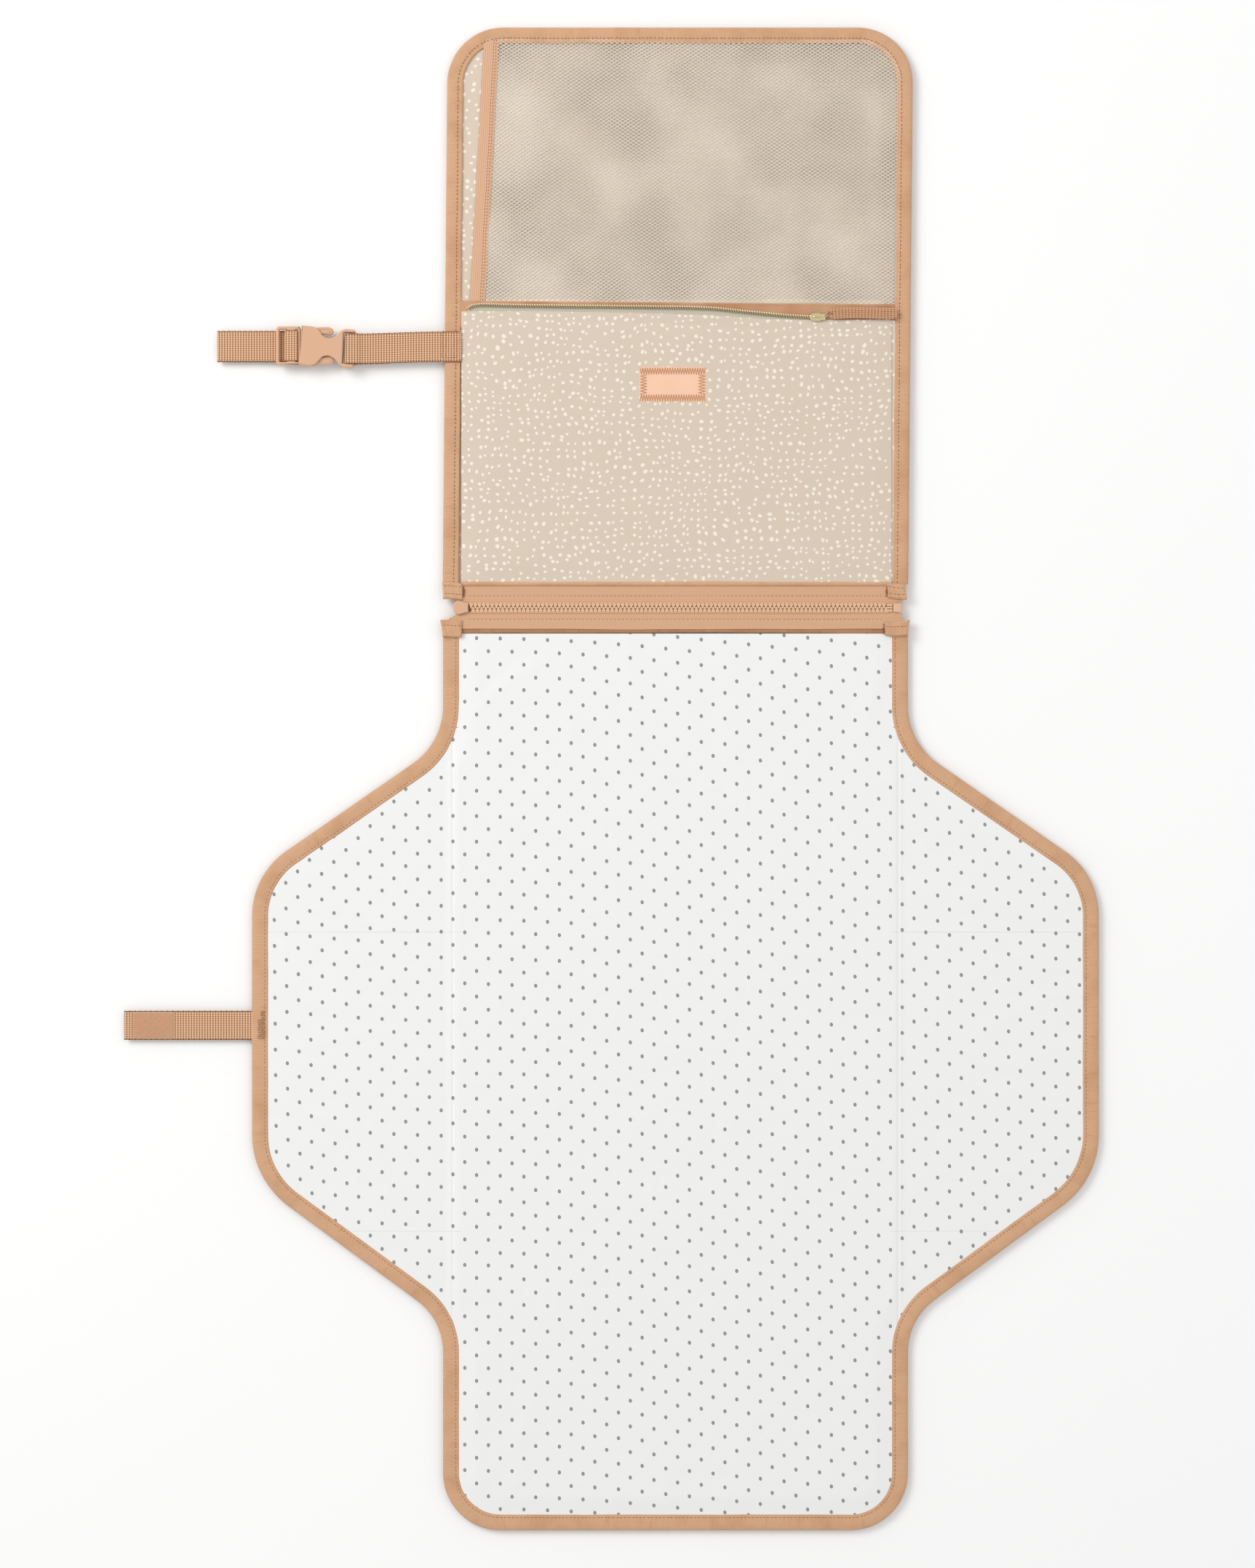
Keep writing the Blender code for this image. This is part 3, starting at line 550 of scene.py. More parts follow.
# how steeply the printed rows drop towards the right, at places across the pad, in metres
SLOPE_X = np.array([-0.275, -0.243, -0.228, -0.213, -0.182, -0.167, -0.150, -0.118, -0.090, -0.045, -0.013, 0.08, 0.20, 0.235, 0.262, 0.28])
SLOPE = np.array([0.095, 0.093, 0.088, 0.064, 0.052, 0.043, 0.018, 0.022, 0.042, 0.075, 0.10, 0.11, 0.11, 0.09, 0.03, 0.02])
_dx = np.linspace(-0.29, 0.29, 1161)
_dd = np.r_[0, np.cumsum(np.interp((_dx[1:] + _dx[:-1]) / 2, SLOPE_X, SLOPE)) * (_dx[1] - _dx[0])]


def row_drop(x):
    return np.interp(x, _dx, _dd) - np.interp(-0.1285, _dx, _dd)


# ------------------------------------------------------------------ the film's relief
RIDGES = [  # x1, y1, x2, y2, half width, height, all in millimetres
    (-94, 267, -119, 247, 5, 0.42), (-106, 280, -85, 262, 6, 0.22), (-69, 288, -67, 232, 5, 0.25),
    (-30, 289, -28, 240, 6, 0.25), (4, 286, 20, 205, 8, 0.30), (30, 284, 38, 190, 7, 0.22),
    (70, 288, 62, 240, 7, 0.2), (112, 285, 128, 235, 6, 0.25), (133, 262, 118, 214, 6, 0.3),
    (-262, -8, -232, -22, 5, 0.45), (-260, 22, -214, 30, 5, 0.35), (-262, 60, -200, 48, 6, 0.35),
    (-258, -30, -205, -52, 6, 0.3), (-236, 4, -180, -14, 8, 0.25), (-240, 96, -190, 60, 7, 0.25),
    (262, 62, 214, 40, 5, 0.4), (263, 20, 220, 12, 6, 0.35), (262, -22, 206, -6, 6, 0.35),
    (258, -48, 214, -60, 5, 0.35), (256, 92, 196, 66, 7, 0.3), (230, 110, 182, 120, 6, 0.3),
    (-134, -262, -104, -232, 6, 0.4), (-112, -276, -96, -214, 6, 0.3), (134, -262, 108, -226, 6, 0.4),
    (100, -278, 92, -208, 7, 0.25), (-60, -282, -56, -210, 7, 0.25), (-8, -284, -6, -214, 7, 0.22),
    (40, -282, 44, -216, 7, 0.25), (-134, -200, -100, -206, 8, 0.2), (136, -190, 96, -200, 8, 0.2),
    (-40, 40, 60, 10, 16, 0.18), (-80, -60, 10, -90, 18, 0.15), (40, 120, 110, 100, 16, 0.16),
]


def relief(x, y):
    """Height of the film above its flat level, in metres."""
    x, y = np.asarray(x) / MM, np.asarray(y) / MM
    h = np.zeros_like(x)
    for x1, y1, x2, y2, w, a in RIDGES:
        dx, dy = x2 - x1, y2 - y1
        length = math.hypot(dx, dy)
        t = ((x - x1) * dx + (y - y1) * dy) / length ** 2
        side = ((x - x1) * dy - (y - y1) * dx) / length
        bend = 2.5 * np.sin(np.clip(t, 0, 1) * 3.0)
        fall = np.exp(-np.clip(np.maximum(-t, t - 1), 0, None) ** 2 * (length / (2.2 * w)) ** 2 * 0.5)
        q = (side - bend) / w
        h += a * (np.exp(-q * q) - 0.45 * np.exp(-((q - 1.5) ** 2))) * fall * 0.55
    h += 0.10 * np.sin(x / 23 + 0.8 * np.sin(y / 41)) * np.sin(y / 31 + 1.1)
    h += 0.07 * np.sin(x / 12.7 + y / 17.3) * np.sin(x / 37 - y / 29)
    return h * MM


def film_z(x, y):
    """Top of the film: the column stands higher than the wings, weld lines run along the wing folds."""
    x, y = np.asarray(x, float), np.asarray(y, float)
    wing = step(np.abs(x), WING_LINE - 5 * MM, WING_LINE + 5 * MM)
    d = dist_in(x, y)
    rise = step(d, 7 * MM, 24 * MM)
    z = (COL_T - 0.25 * MM) * (1 - wing) + (WING_T - 0.15 * MM) * wing
    z = (BIND_T - 0.70 * MM) * (1 - rise) + z * rise
    z = z + relief(x, y) * step(d, 8 * MM, 18 * MM) * (1 - 0.35 * wing)
    inside = step(y, 232 * MM, 222 * MM) * step(y, -180 * MM, -170 * MM)
    g = (np.abs(x) - WING_LINE) / (0.7 * MM)
    z = z - 0.28 * MM * np.exp(-g * g) * inside
    g2 = (np.abs(x) - WING_LINE - 2.0 * MM) / (0.9 * MM)
    z = z + 0.10 * MM * np.exp(-g2 * g2) * inside
    return z


DIST_STEP = 2.0 * MM
_gx = np.arange(-0.290, 0.2901, DIST_STEP)
_gy = np.arange(-0.302, 0.3021, DIST_STEP)
_ep = resample(EDGE, 2.0 * MM)[0]
_ep = np.r_[_ep, _ep * [-1, 1]]
_ex = edge_x(_gy, 0.0)
_D = np.empty((len(_gy), len(_gx)))
for _i, _y in enumerate(_gy):
    dd = np.sqrt(((_gx[:, None] - _ep[None, :, 0]) ** 2 + (_y - _ep[None, :, 1]) ** 2).min(1))
    _D[_i] = np.where((np.abs(_gx) < _ex[_i]) & (_y > PAD_BOTTOM), dd, -dd)


def dist_in(x, y):
    """Distance of a point inside the pad's outer edge; the zip side doesn't count."""
    fx = np.clip((np.asarray(x) - _gx[0]) / DIST_STEP, 0, len(_gx) - 1.001)
    fy = np.clip((np.asarray(y) - _gy[0]) / DIST_STEP, 0, len(_gy) - 1.001)
    i, j = fy.astype(int), fx.astype(int)
    a, b = fy - i, fx - j
    return (_D[i, j] * (1 - a) * (1 - b) + _D[i + 1, j] * a * (1 - b) + _D[i, j + 1] * (1 - a) * b + _D[i + 1, j + 1] * a * b)


def set_normals(o, count, x, y):
    """Normals of the first count vertices from the relief itself, so that neighbouring pieces shade alike."""
    e = 0.2 * MM
    gx = (film_z(x + e, y) - film_z(x - e, y)) / (2 * e)
    gy = (film_z(x, y + e) - film_z(x, y - e)) / (2 * e)
    n = np.stack([-gx, -gy, np.ones_like(gx)], 1)
    n /= np.linalg.norm(n, axis=1)[:, None]
    me = o.data
    normals = np.zeros((len(me.vertices), 3), np.float32)
    normals[:count] = n
    me.normals_split_custom_set_from_vertices(normals.tolist())


def shell_rest(bottom):
    """Pattern coordinates for the outer cloth: spread where it stretches round a fold."""
    r = bottom.copy()
    for fold in (-THIRD, THIRD):
        r[..., 1] += 7.5 * MM * np.tanh((bottom[..., 1] - fold) / (4.0 * MM))
    return r


def film_piece(name, g, base=0.15 * MM):
    x, y = g[..., 0], g[..., 1]
    z = film_z(x, y)
    top = np.dstack([x, y, z])
    bottom = np.dstack([x, y, np.full_like(x, base)])
    b = Build()
    slab(b, top, bottom, 0, 1, 2, rest=np.dstack([x + 0.9 * MM * step(-x, 0.19, 0.25) * y / 0.1, y, row_drop(x)]), rest_bottom=shell_rest(bottom))
    o = b.obj(name, [M_PEVA, M_DOT, M_FOAM])
    set_normals(o, x.size, x.ravel(), y.ravel())
    return o


COL_IN = WING_LINE - 5 * MM       # where column and wing pieces meet
UNDER = 6.0 * MM                  # how far the film runs under the binding


def col_half(y):
    full = edge_x(y, UNDER)
    grow = np.maximum(step(y, 228.6 * MM, 230.4 * MM), step(y, -175.6 * MM, -177.4 * MM))
    return COL_IN + (np.maximum(full, COL_IN) * 0 + np.minimum(full, COL_HALF - UNDER) - COL_IN) * grow


def rows_between(a, b, pitch, extra=()):
    n = max(2, int(round(abs(b - a) / pitch)) + 1)
    ys = list(np.linspace(a, b, n)) + [e for e in extra if min(a, b) < e < max(a, b)]
    return np.array(sorted(set(np.round(ys, 7))))


def column_piece(name, y0, y1):
    ys = rows_between(y0, y1, 2.6 * MM, (228.6 * MM, 229.5 * MM, 230.4 * MM, -175.6 * MM, -176.5 * MM, -177.4 * MM))
    us = np.r_[-1, -0.985, np.linspace(-0.965, 0.965, 104), 0.985, 1]
    half = np.array([float(col_half(y)) for y in ys])
    # the foot's rounded corners
    foot = np.array([float(edge_x(y, UNDER)) for y in ys])
    half = np.where(ys < -0.2, np.minimum(half, foot), half)
    x = us[None, :] * half[:, None]
    return film_piece(name, np.dstack([x, np.repeat(ys[:, None], len(us), 1)]))


def wing_piece(name, sign, y0, y1):
    ys = rows_between(y0, y1, 2.6 * MM)
    xo = np.maximum(edge_x(ys, UNDER), COL_IN + 1.0 * MM)
    near = np.array([0, 1.6, 3.2, 4.1, 4.7, 5.3, 5.9, 6.6, 7.4, 8.6, 10.4]) * MM
    rest_u = np.linspace(0, 1, 46)[1:]
    g = []
    for y, b in zip(ys, xo):
        k = min(1.0, (b - COL_IN) / (12 * MM))
        a = COL_IN + near * k
        x = np.r_[a, a[-1] + (b - a[-1]) * rest_u]
        g.append(np.stack([sign * x, np.full_like(x, y)], 1))
    return film_piece(name, np.array(g))


W_TOP, W_LOW = hi("right_wing_upper_binding")[1], lo("right_wing_lower_binding")[1]
FOOT_END = PAD_BOTTOM + UNDER

upper = column_piece("pad_cover_upper", 0.0, PAD_TOP - 0.5 * MM)
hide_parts("pad_upper_top_sheet", "pad_upper_foam", "pad_upper_backing")
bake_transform(upper)
lower = column_piece("pad_cover_lower", FOOT_END, 0.0)
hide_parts("pad_middle_top_sheet", "pad_middle_foam", "pad_middle_backing",
            "pad_lower_top_sheet", "pad_lower_foam", "pad_lower_backing")
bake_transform(lower)
for sign, hand in ((1, "right"), (-1, "left")):
    for third, y0, y1 in (("upper", THIRD + 0.03 * MM, W_TOP), ("middle", -THIRD + 0.03 * MM, THIRD - 0.03 * MM), ("lower", W_LOW, -THIRD - 0.03 * MM)):
        o = wing_piece("%s_wing_%s_cover" % (hand, third), sign, y0, y1)
        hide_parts("%s_wing_%s_panel" % (hand, third))
        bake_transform(o)


# ------------------------------------------------------------------ bindings
def profile_norm(profile):
    p = np.asarray(profile, float)
    t = np.roll(p, -1, 0) - np.roll(p, 1, 0)
    n = np.stack([t[:, 1], -t[:, 0]], 1)
    n /= np.linalg.norm(n, axis=1)[:, None]
    area = 0.5 * np.sum(p[:, 0] * np.roll(p[:, 1], -1) - np.roll(p[:, 0], -1) * p[:, 1])
    return n if area > 0 else -n


def binding_profile(width, t, bulge=1.0):
    """Section of a folded tape: inward distance from the outer edge, height; both in metres."""
    w, t = width / MM, t / MM
    p = [(w, t - 0.45), (w - 0.35, t - 0.08), (w - 1.2, t + 0.02), (w - 2.0, t - 0.16), (w - 2.9, t + 0.05),
         (w - 4.6, t + 0.22 * bulge), (w - 6.6, t + 0.25 * bulge), (1.6, t + 0.08), (0.55, t - 0.35),
         (0.05, t * 0.5), (0.45, 0.32), (1.5, 0.04), (w * 0.5, 0.0), (w - 0.4, 0.05), (w, 0.4)]
    return np.array(p) * MM


def thread_run(build, points, up, mat, pitch=2.5 * MM, length=1.6 * MM, r=0.17 * MM, sink=0.0, jitter=0.0):
    """Separate stitches along a 3D polyline, each a slim spindle lying on the cloth."""
    p, t, s = resample(points, 0.4 * MM)
    total = s[-1]
    n = int(total / pitch)
    if n < 1:
        return
    mids = (np.arange(n) + 0.5) * total / n
    prof = [(-0.5, 0.0, -0.6), (-0.42, 0.7, -0.1), (-0.15, 1.0, 0.35), (0.15, 1.0, 0.35), (0.42, 0.7, -0.1), (0.5, 0.0, -0.6)]
    k = 6
    ang = np.arange(k) * TAU / k
    for mid in mids:
        mid = mid + (rng.random() - 0.5) * jitter
        c = np.array([np.interp(mid, s, p[:, q]) for q in range(3)])
        d = np.array([np.interp(mid, s, t[:, q]) for q in range(3)])
        d /= np.linalg.norm(d)
        side = np.cross(up, d)
        side /= np.linalg.norm(side)
        u = np.cross(d, side)
        rings = []
        for a, w, h in prof[1:-1]:
            centre = c + d * a * length + u * (h * r - sink)
            rings.append(centre + r * w * (np.cos(ang)[:, None] * side + np.sin(ang)[:, None] * u))
        rings = np.array(rings)
        tube(build, rings, mat)


def binding(name, path, inward, profile, ribs=True, stitch=True, offset_seed=0.0, rib=1.05 * MM, wob=0.18 * MM,
            lift=None, mats=None, stitch_d=None, shift=None):
    """A folded tape along an outer-edge path; inward is +1 when the inside lies to the right of the path."""
    p, t, s = resample(path, rib / 2 if ribs else 1.5 * MM)
    n2 = np.stack([t[:, 1], -t[:, 0]], 1) * inward
    prof = np.asarray(profile)
    pn = profile_norm(prof)
    amp = np.where(np.arange(len(s)) % 2 == 0, 1.0, -1.0) * 0.035 * MM if ribs else np.zeros(len(s))
    fade = np.clip(np.minimum(s, s[-1] - s) / (2 * MM), 0, 1)
    amp = amp * fade
    along = p[:, 0] * 0.8 + p[:, 1]
    wd = wob * wave(along, 1.0, 26 * MM)
    wz = 0.06 * MM * wave(along, 5.0, 17 * MM)
    rings, rest = [], []
    full = np.r_[0, np.cumsum(np.linalg.norm(np.diff(np.r_[prof, prof[:1]], axis=0), axis=1))][:-1]
    top = prof[:, 1] > prof[:, 1].max() * 0.35
    d = prof[None, :, 0] - pn[None, :, 0] * 0 + amp[:, None] * pn[None, :, 0] + wd[:, None] * np.clip(prof[None, :, 0] / prof[:, 0].max(), 0, 1) * 0.6
    z = prof[None, :, 1] + amp[:, None] * pn[None, :, 1] + wz[:, None] * top[None, :]
    if lift is not None:
        z = z + lift(p)[:, None]
    xy = p[:, None, :] + n2[:, None, :] * d[..., None]
    if shift is not None:
        xy[..., 0] += shift(xy[..., 1])
    rings = np.dstack([xy, z])
    rest = np.dstack([np.repeat(s[:, None], len(prof), 1) + offset_seed * 0.01, np.repeat(full[None], len(s), 0), z])
    b = Build()
    tube(b, rings, 0, rest)
    if stitch:
        sd = stitch_d if stitch_d is not None else prof[:, 0].max() - 2.0 * MM
        zt = np.interp(sd, prof[:5, 0][::-1], prof[:5, 1][::-1]) if sd > prof[4, 0] else prof[:, 1].max()
        line = p + n2 * (sd + wd * 0.5)[:, None]
        if shift is not None:
            line[:, 0] += shift(line[:, 1])
        zz = np.full(len(line), zt) + wz + (lift(p) if lift is not None else 0)
        thread_run(b, np.c_[line, zz], np.array([0, 0, 1.0]), 1, sink=0.02 * MM, jitter=0.7 * MM)
    return b.obj(name, mats or [M_BIND, M_THREAD_DARK])


PAD_PROF = binding_profile(10.4 * MM, BIND_T - 0.15 * MM)
mirror = np.array([-1.0, 1.0])


def cut_path(y_hi, y_lo):
    p, _, _ = resample(EDGE, 0.4 * MM)
    m = (p[:, 1] < y_hi - 1e-6) & (p[:, 1] > y_lo + 1e-6) & (p[:, 0] > COL_HALF - 2 * MM)
    q = p[m]
    return np.r_[[[np.interp(-y_hi, -p[:, 1], p[:, 0]), y_hi]], q, [[np.interp(-y_lo, -p[:, 1], p[:, 0]), y_lo]]]


def corner_blend(o):
    """Bakes the tape's placement into its mesh."""
    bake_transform(o)


for sign, hand in ((1, "right"), (-1, "left")):
    q = np.array([sign, 1.0])
    head = cut_path(PAD_TOP, THIRD + 0.01 * MM)
    o = binding("%s_upper_binding" % hand, head * q, sign, PAD_PROF, offset_seed=1 + sign)
    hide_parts("pad_head_binding_" + hand, "%s_wing_upper_binding" % hand)
    corner_blend(o)
    mid = cut_path(THIRD - 0.01 * MM, -THIRD + 0.01 * MM)
    o = binding("%s_middle_binding" % hand, mid * q, sign, PAD_PROF, offset_seed=5 + sign)
    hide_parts("%s_wing_middle_binding" % hand)
    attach(o, "%s_wing_middle" % hand)
    low = cut_path(-THIRD - 0.01 * MM, -205 * MM)
    o = binding("%s_lower_binding" % hand, low * q, sign, PAD_PROF, offset_seed=9 + sign)
    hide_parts("%s_wing_lower_binding" % hand)
    corner_blend(o)
foot_r = part_of(EDGE, lambda p: p[1] <= -205 * MM)
foot = np.r_[[[COL_HALF, -204.9 * MM]], foot_r, (foot_r * mirror)[::-1][1:], [[-COL_HALF, -204.9 * MM]]]
o = binding("foot_binding", foot, 1, PAD_PROF, offset_seed=3)
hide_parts("pad_foot_binding")
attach(o, "pad_lower")


# ------------------------------------------------------------------ solid helpers
def offset_loop(loop, d):
    """A closed loop moved inwards by d; the loop runs anticlockwise for an outer edge."""
    p = np.asarray(loop, float)
    a, b = p - np.roll(p, 1, 0), np.roll(p, -1, 0) - p
    a /= np.linalg.norm(a, axis=1)[:, None]
    b /= np.linalg.norm(b, axis=1)[:, None]
    na, nb = np.stack([-a[:, 1], a[:, 0]], 1), np.stack([-b[:, 1], b[:, 0]], 1)
    n = na + nb
    n /= np.linalg.norm(n, axis=1)[:, None]
    k = np.clip(np.einsum("ij,ij->i", n, na), 0.5, 1)
    return p + n * (d / k)[:, None]


def ccw(loop, want=True):
    p = np.asarray(loop, float)
    area = 0.5 * np.sum(p[:, 0] * np.roll(p[:, 1], -1) - np.roll(p[:, 0], -1) * p[:, 1])
    return p if (area > 0) == want else p[::-1]


def round_loop(corners, steps=10):
    """A closed polygon of (x, y, radius) with rounded corners."""
    n = len(corners)
    out = []
    for i in range(n):
        x, y, r = corners[i]
        here = Vector((x, y))
        back = (Vector(corners[i - 1][:2]) - here)
        ahead = (Vector(corners[(i + 1) % n][:2]) - here)
        lb, la = back.length, ahead.length
        back.normalize()
        ahead.normalize()
        if r <= 0:
            out.append((x, y))
            continue
        half = math.acos(max(-1, min(1, back.dot(ahead)))) / 2
        if half > 1.55:
            out.append((x, y))
            continue
        r = min(r, 0.48 * min(lb, la) * math.tan(half))
        reach = r / math.tan(half)
        centre = here + (back + ahead).normalized() * (r / math.sin(half))
        a, b = here + back * reach - centre, here + ahead * reach - centre
        start, end = math.atan2(a.y, a.x), math.atan2(b.y, b.x)
        sweep = (end - start + math.pi) % TAU - math.pi
        m = max(2, round(steps * abs(sweep) / (math.pi / 2)))
        for k in range(m + 1):
            t = start + sweep * k / m
            out.append((centre.x + r * math.cos(t), centre.y + r * math.sin(t)))
    return np.array(out)


from mathutils.geometry import tessellate_polygon


def plate(build, loops, z0, z1, r=0.4 * MM, mat=0, place=None, steps=4, crown=0.0):
    """A solid plate with rounded edges. loops[0] is the outside, the rest are holes. place maps (n, 3) to world."""
    rings_all = []
    for i, loop in enumerate(loops):
        loop = ccw(loop, i == 0)
        rings = []
        for k in range(steps + 1):
            t = math.pi / 2 * k / steps
            rings.append((offset_loop(loop, r * (1 - math.sin(t))), z0 + r * (1 - math.cos(t))))
        for k in range(steps + 1):
            t = math.pi / 2 * k / steps
            rings.append((offset_loop(loop, r * (1 - math.cos(t))), z1 - r * (1 - math.sin(t))))
        rings_all.append(rings)
    for rings in rings_all:
        m = len(rings[0][0])
        v = np.concatenate([np.c_[xy, np.full(m, z)] for xy, z in rings])
        f = grid_faces(len(rings), m, wrap_v=True)
        f = f[:, ::-1]
        if place is not None:
            v = place(v)
        build.add(v, f, mat)
    for which, z in ((0, rings_all[0][0][1]), (-1, rings_all[0][-1][1])):
        flat_loops = [rings[which][0] for rings in rings_all]
        polys = [[Vector((x, y, 0)) for x, y in lp] for lp in flat_loops]
        tris = np.array(tessellate_polygon(polys))
        pts = np.concatenate(flat_loops)
        v = np.c_[pts, np.full(len(pts), z)]
        a, b, c = v[tris[:, 0]], v[tris[:, 1]], v[tris[:, 2]]
        nz = np.cross(b - a, c - a)[:, 2]
        up = which == -1
        flip = (nz > 0) != up
        tris[flip] = tris[flip][:, ::-1]
        if place is not None:
            v = place(v)
        build.add(v, tris, mat)


def heightfield(build, xs, ys, top, base, mat=0, rest=None, mat_under=None):
    """A closed sheet over a grid: top and base are functions of (x, y) or constants."""
    X, Y = np.meshgrid(xs, ys)
    T = top(X, Y) if callable(top) else np.full(X.shape, top)
    B = base(X, Y) if callable(base) else np.full(X.shape, base)
    slab(build, np.dstack([X, Y, T]), np.dstack([X, Y, B]), mat, mat if mat_under is None else mat_under, mat,
         rest=rest)


def quad_grid(corners, nu, nv):
    """A bilinear grid over four corners: low-left, low-right, top-right, top-left."""
    a, b, c, d = (np.asarray(q, float) for q in corners)
    u, v = np.meshgrid(np.linspace(0, 1, nu), np.linspace(0, 1, nv))
    u, v = u[..., None], v[..., None]
    return (a * (1 - u) + b * u) * (1 - v) + (d * (1 - u) + c * u) * v


def strip_z(s, d, half, pitch_s=1.74 * MM, pitch_d=1.44 * MM, amp=0.30 * MM):
    """Relief of a basket-woven webbing, 0 at its pits."""
    a = np.cos(math.pi * s / pitch_s) ** 2
    b = np.cos(math.pi * d / pitch_d) ** 2
    edge = np.clip((half - np.abs(d)) / (0.9 * MM), 0, 1)
    cross = 0.5 + 0.5 * np.cos(math.pi * (s / pitch_s + d / pitch_d)) * np.cos(math.pi * (s / pitch_s - d / pitch_d))
    h = 1 - 0.95 * a ** 1.6 * b ** 1.2 - 0.26 * a ** 2 - 0.10 * b ** 2 - 0.14 * cross
    h = np.clip(h, 0, 1) * (0.4 + 0.6 * edge) * amp
    return h - (1 - edge) ** 2 * 0.30 * MM


def strip(build, path, yc, half, thick, mat=0, step_s=0.29 * MM, step_d=0.36 * MM, closed=False, amp=0.24 * MM,
          shape=None, yshift=None):
    """Webbing swept along a path in the XZ plane, woven on both faces."""
    path = np.asarray(path, float)
    if closed:
        path = np.r_[path, path[:1]]
    seg = np.linalg.norm(np.diff(path, axis=0), axis=1)
    s0 = np.r_[0, np.cumsum(seg)]
    n = max(3, int(round(s0[-1] / step_s)) + 1)
    s = np.linspace(0, s0[-1], n)
    p = np.stack([np.interp(s, s0, path[:, k]) for k in (0, 1)], 1)
    k = max(1, int(0.5 * MM / step_s))
    for _ in range(2):
        if closed:
            q = np.r_[p[-k - 1:-1], p, p[1:k + 1]]
        else:
            q = np.r_[2 * p[0] - p[k:0:-1], p, 2 * p[-1] - p[-2:-k - 2:-1]]
        ker = np.ones(2 * k + 1) / (2 * k + 1)
        p = np.stack([np.convolve(q[:, j], ker, "valid") for j in (0, 1)], 1)
    t = np.gradient(p, axis=0)
    if closed:
        t[0] = t[-1] = (p[1] - p[0]) + (p[-1] - p[-2])
    t /= np.linalg.norm(t, axis=1)[:, None]
    nrm = np.stack([-t[:, 1], t[:, 0]], 1)
    m = max(3, int(round(2 * half / step_d)) + 1)
    d = np.linspace(-half, half, m)
    S, D = np.meshgrid(s, d, indexing="ij")
    h = strip_z(S, D, half, amp=amp)
    extra = np.zeros_like(h) if shape is None else shape(S, D)
    ysh = np.zeros(n) if yshift is None else yshift(p[:, 0])
    ripple = 0.12 * MM * np.sin(S / (1.74 * MM) * math.pi) * (np.abs(D) > half - 0.5 * MM)
    Y = yc + D + ysh[:, None] + ripple * np.sign(D)
    base = thick / 2 - amp
    up = np.dstack([p[:, 0][:, None] + nrm[:, 0][:, None] * (base + h + extra), Y,
                    p[:, 1][:, None] + nrm[:, 1][:, None] * (base + h + extra)])
    h2 = strip_z(S + 0.87 * MM, D, half, amp=amp)
    dn = np.dstack([p[:, 0][:, None] - nrm[:, 0][:, None] * (base + h2 - extra), Y,
                    p[:, 1][:, None] - nrm[:, 1][:, None] * (base + h2 - extra)])
    # the third rest coordinate is the weave height, which the webbing material turns into painted shade in the pits
    # and painted highlight on the crowns
    rest = np.dstack([S, D, h / amp])
    rest2 = np.dstack([S, D, h2 / amp])
    if closed:
        for g, r, flip in ((up, rest, False), (dn, rest2, True)):
            v = g.reshape(-1, 3)
            f = grid_faces(n, m, flip=flip)
            build.add(v, f, mat, r.reshape(-1, 3))
        for col, flip in ((0, False), (m - 1, True)):
            v = np.r_[up[:, col], dn[:, col]]
            i = np.arange(n - 1)
            f = np.stack([i, i + 1, i + 1 + n, i + n], 1)
            build.add(v, f[:, ::-1] if flip else f, mat, np.r_[rest[:, col], rest2[:, col]])
    else:
        slab(build, up, dn, mat, mat, mat, rest=rest, rest_bottom=rest2)


def webbing_material():
    m = Mat("woven_webbing", WEB, 0.72, sheen=0.3, spec=0.35)
    vec, s, d, h = m.rest()
    # painted shade and highlight: by the weave height in rest z, the pits are coloured dark brown and the crowns near
    # white
    k = m.ramp(h, 0.10, 0.62)
    fine, _ = m.noise(vec, 2600, 2.0)
    big, _ = m.noise(vec, 90, 2.0)
    c = m.mix(k, srgb(120, 74, 40), srgb(210, 162, 124))
    c = m.mix(m.math("MULTIPLY", m.ramp(h, 0.66, 0.95), 0.8), c, srgb(240, 200, 164))
    c = m.mix(m.math("MULTIPLY", big, 0.22), c, srgb(184, 134, 94))
    m.set("Base Color", c)
    strand = m.sine(m.math("ADD", s, d), 0.36 * MM)
    b = m.bump(strand, 0.00008, 0.7)
    b = m.bump(fine, 0.00006, 0.5, b)
    m.set("Normal", b)
    return m.m


M_WEB = webbing_material()


def zip_tape_material():
    """Herringbone tape: columns of slanting threads whose slope changes side every couple of millimetres."""
    m = Mat("herringbone_tape", srgb(214, 171, 138), 0.75, sheen=0.25, spec=0.3)
    vec, x, y, _ = m.rest()
    u = m.math("MULTIPLY", x, 1 / (4.6 * MM))
    tri = m.math("ABSOLUTE", m.math("SUBTRACT", m.math("FRACT", u), 0.5))
    slant = m.math("MULTIPLY_ADD", tri, 4.6 * MM, y)
    line = m.sine(slant, 1.35 * MM)
    fine, _ = m.noise(vec, 1600, 2.0)
    big, _ = m.noise(vec, 50, 2.0)
    # painted shade: the slanting grooves, where the bump height is low, are coloured darker
    c = m.mix(m.math("MULTIPLY", line, 0.80), srgb(222, 178, 143), srgb(184, 136, 98))
    c = m.mix(m.math("MULTIPLY", big, 0.30), c, srgb(204, 158, 122))
    c = m.mix(m.math("MULTIPLY", fine, 0.15), c, srgb(236, 198, 166))
    m.set("Base Color", c)
    b = m.bump(m.math("SUBTRACT", 1.0, line), 0.00011, 0.9)
    b = m.bump(fine, 0.00005, 0.5, b)
    m.set("Normal", b)
    return m.m


M_TAPE = zip_tape_material()


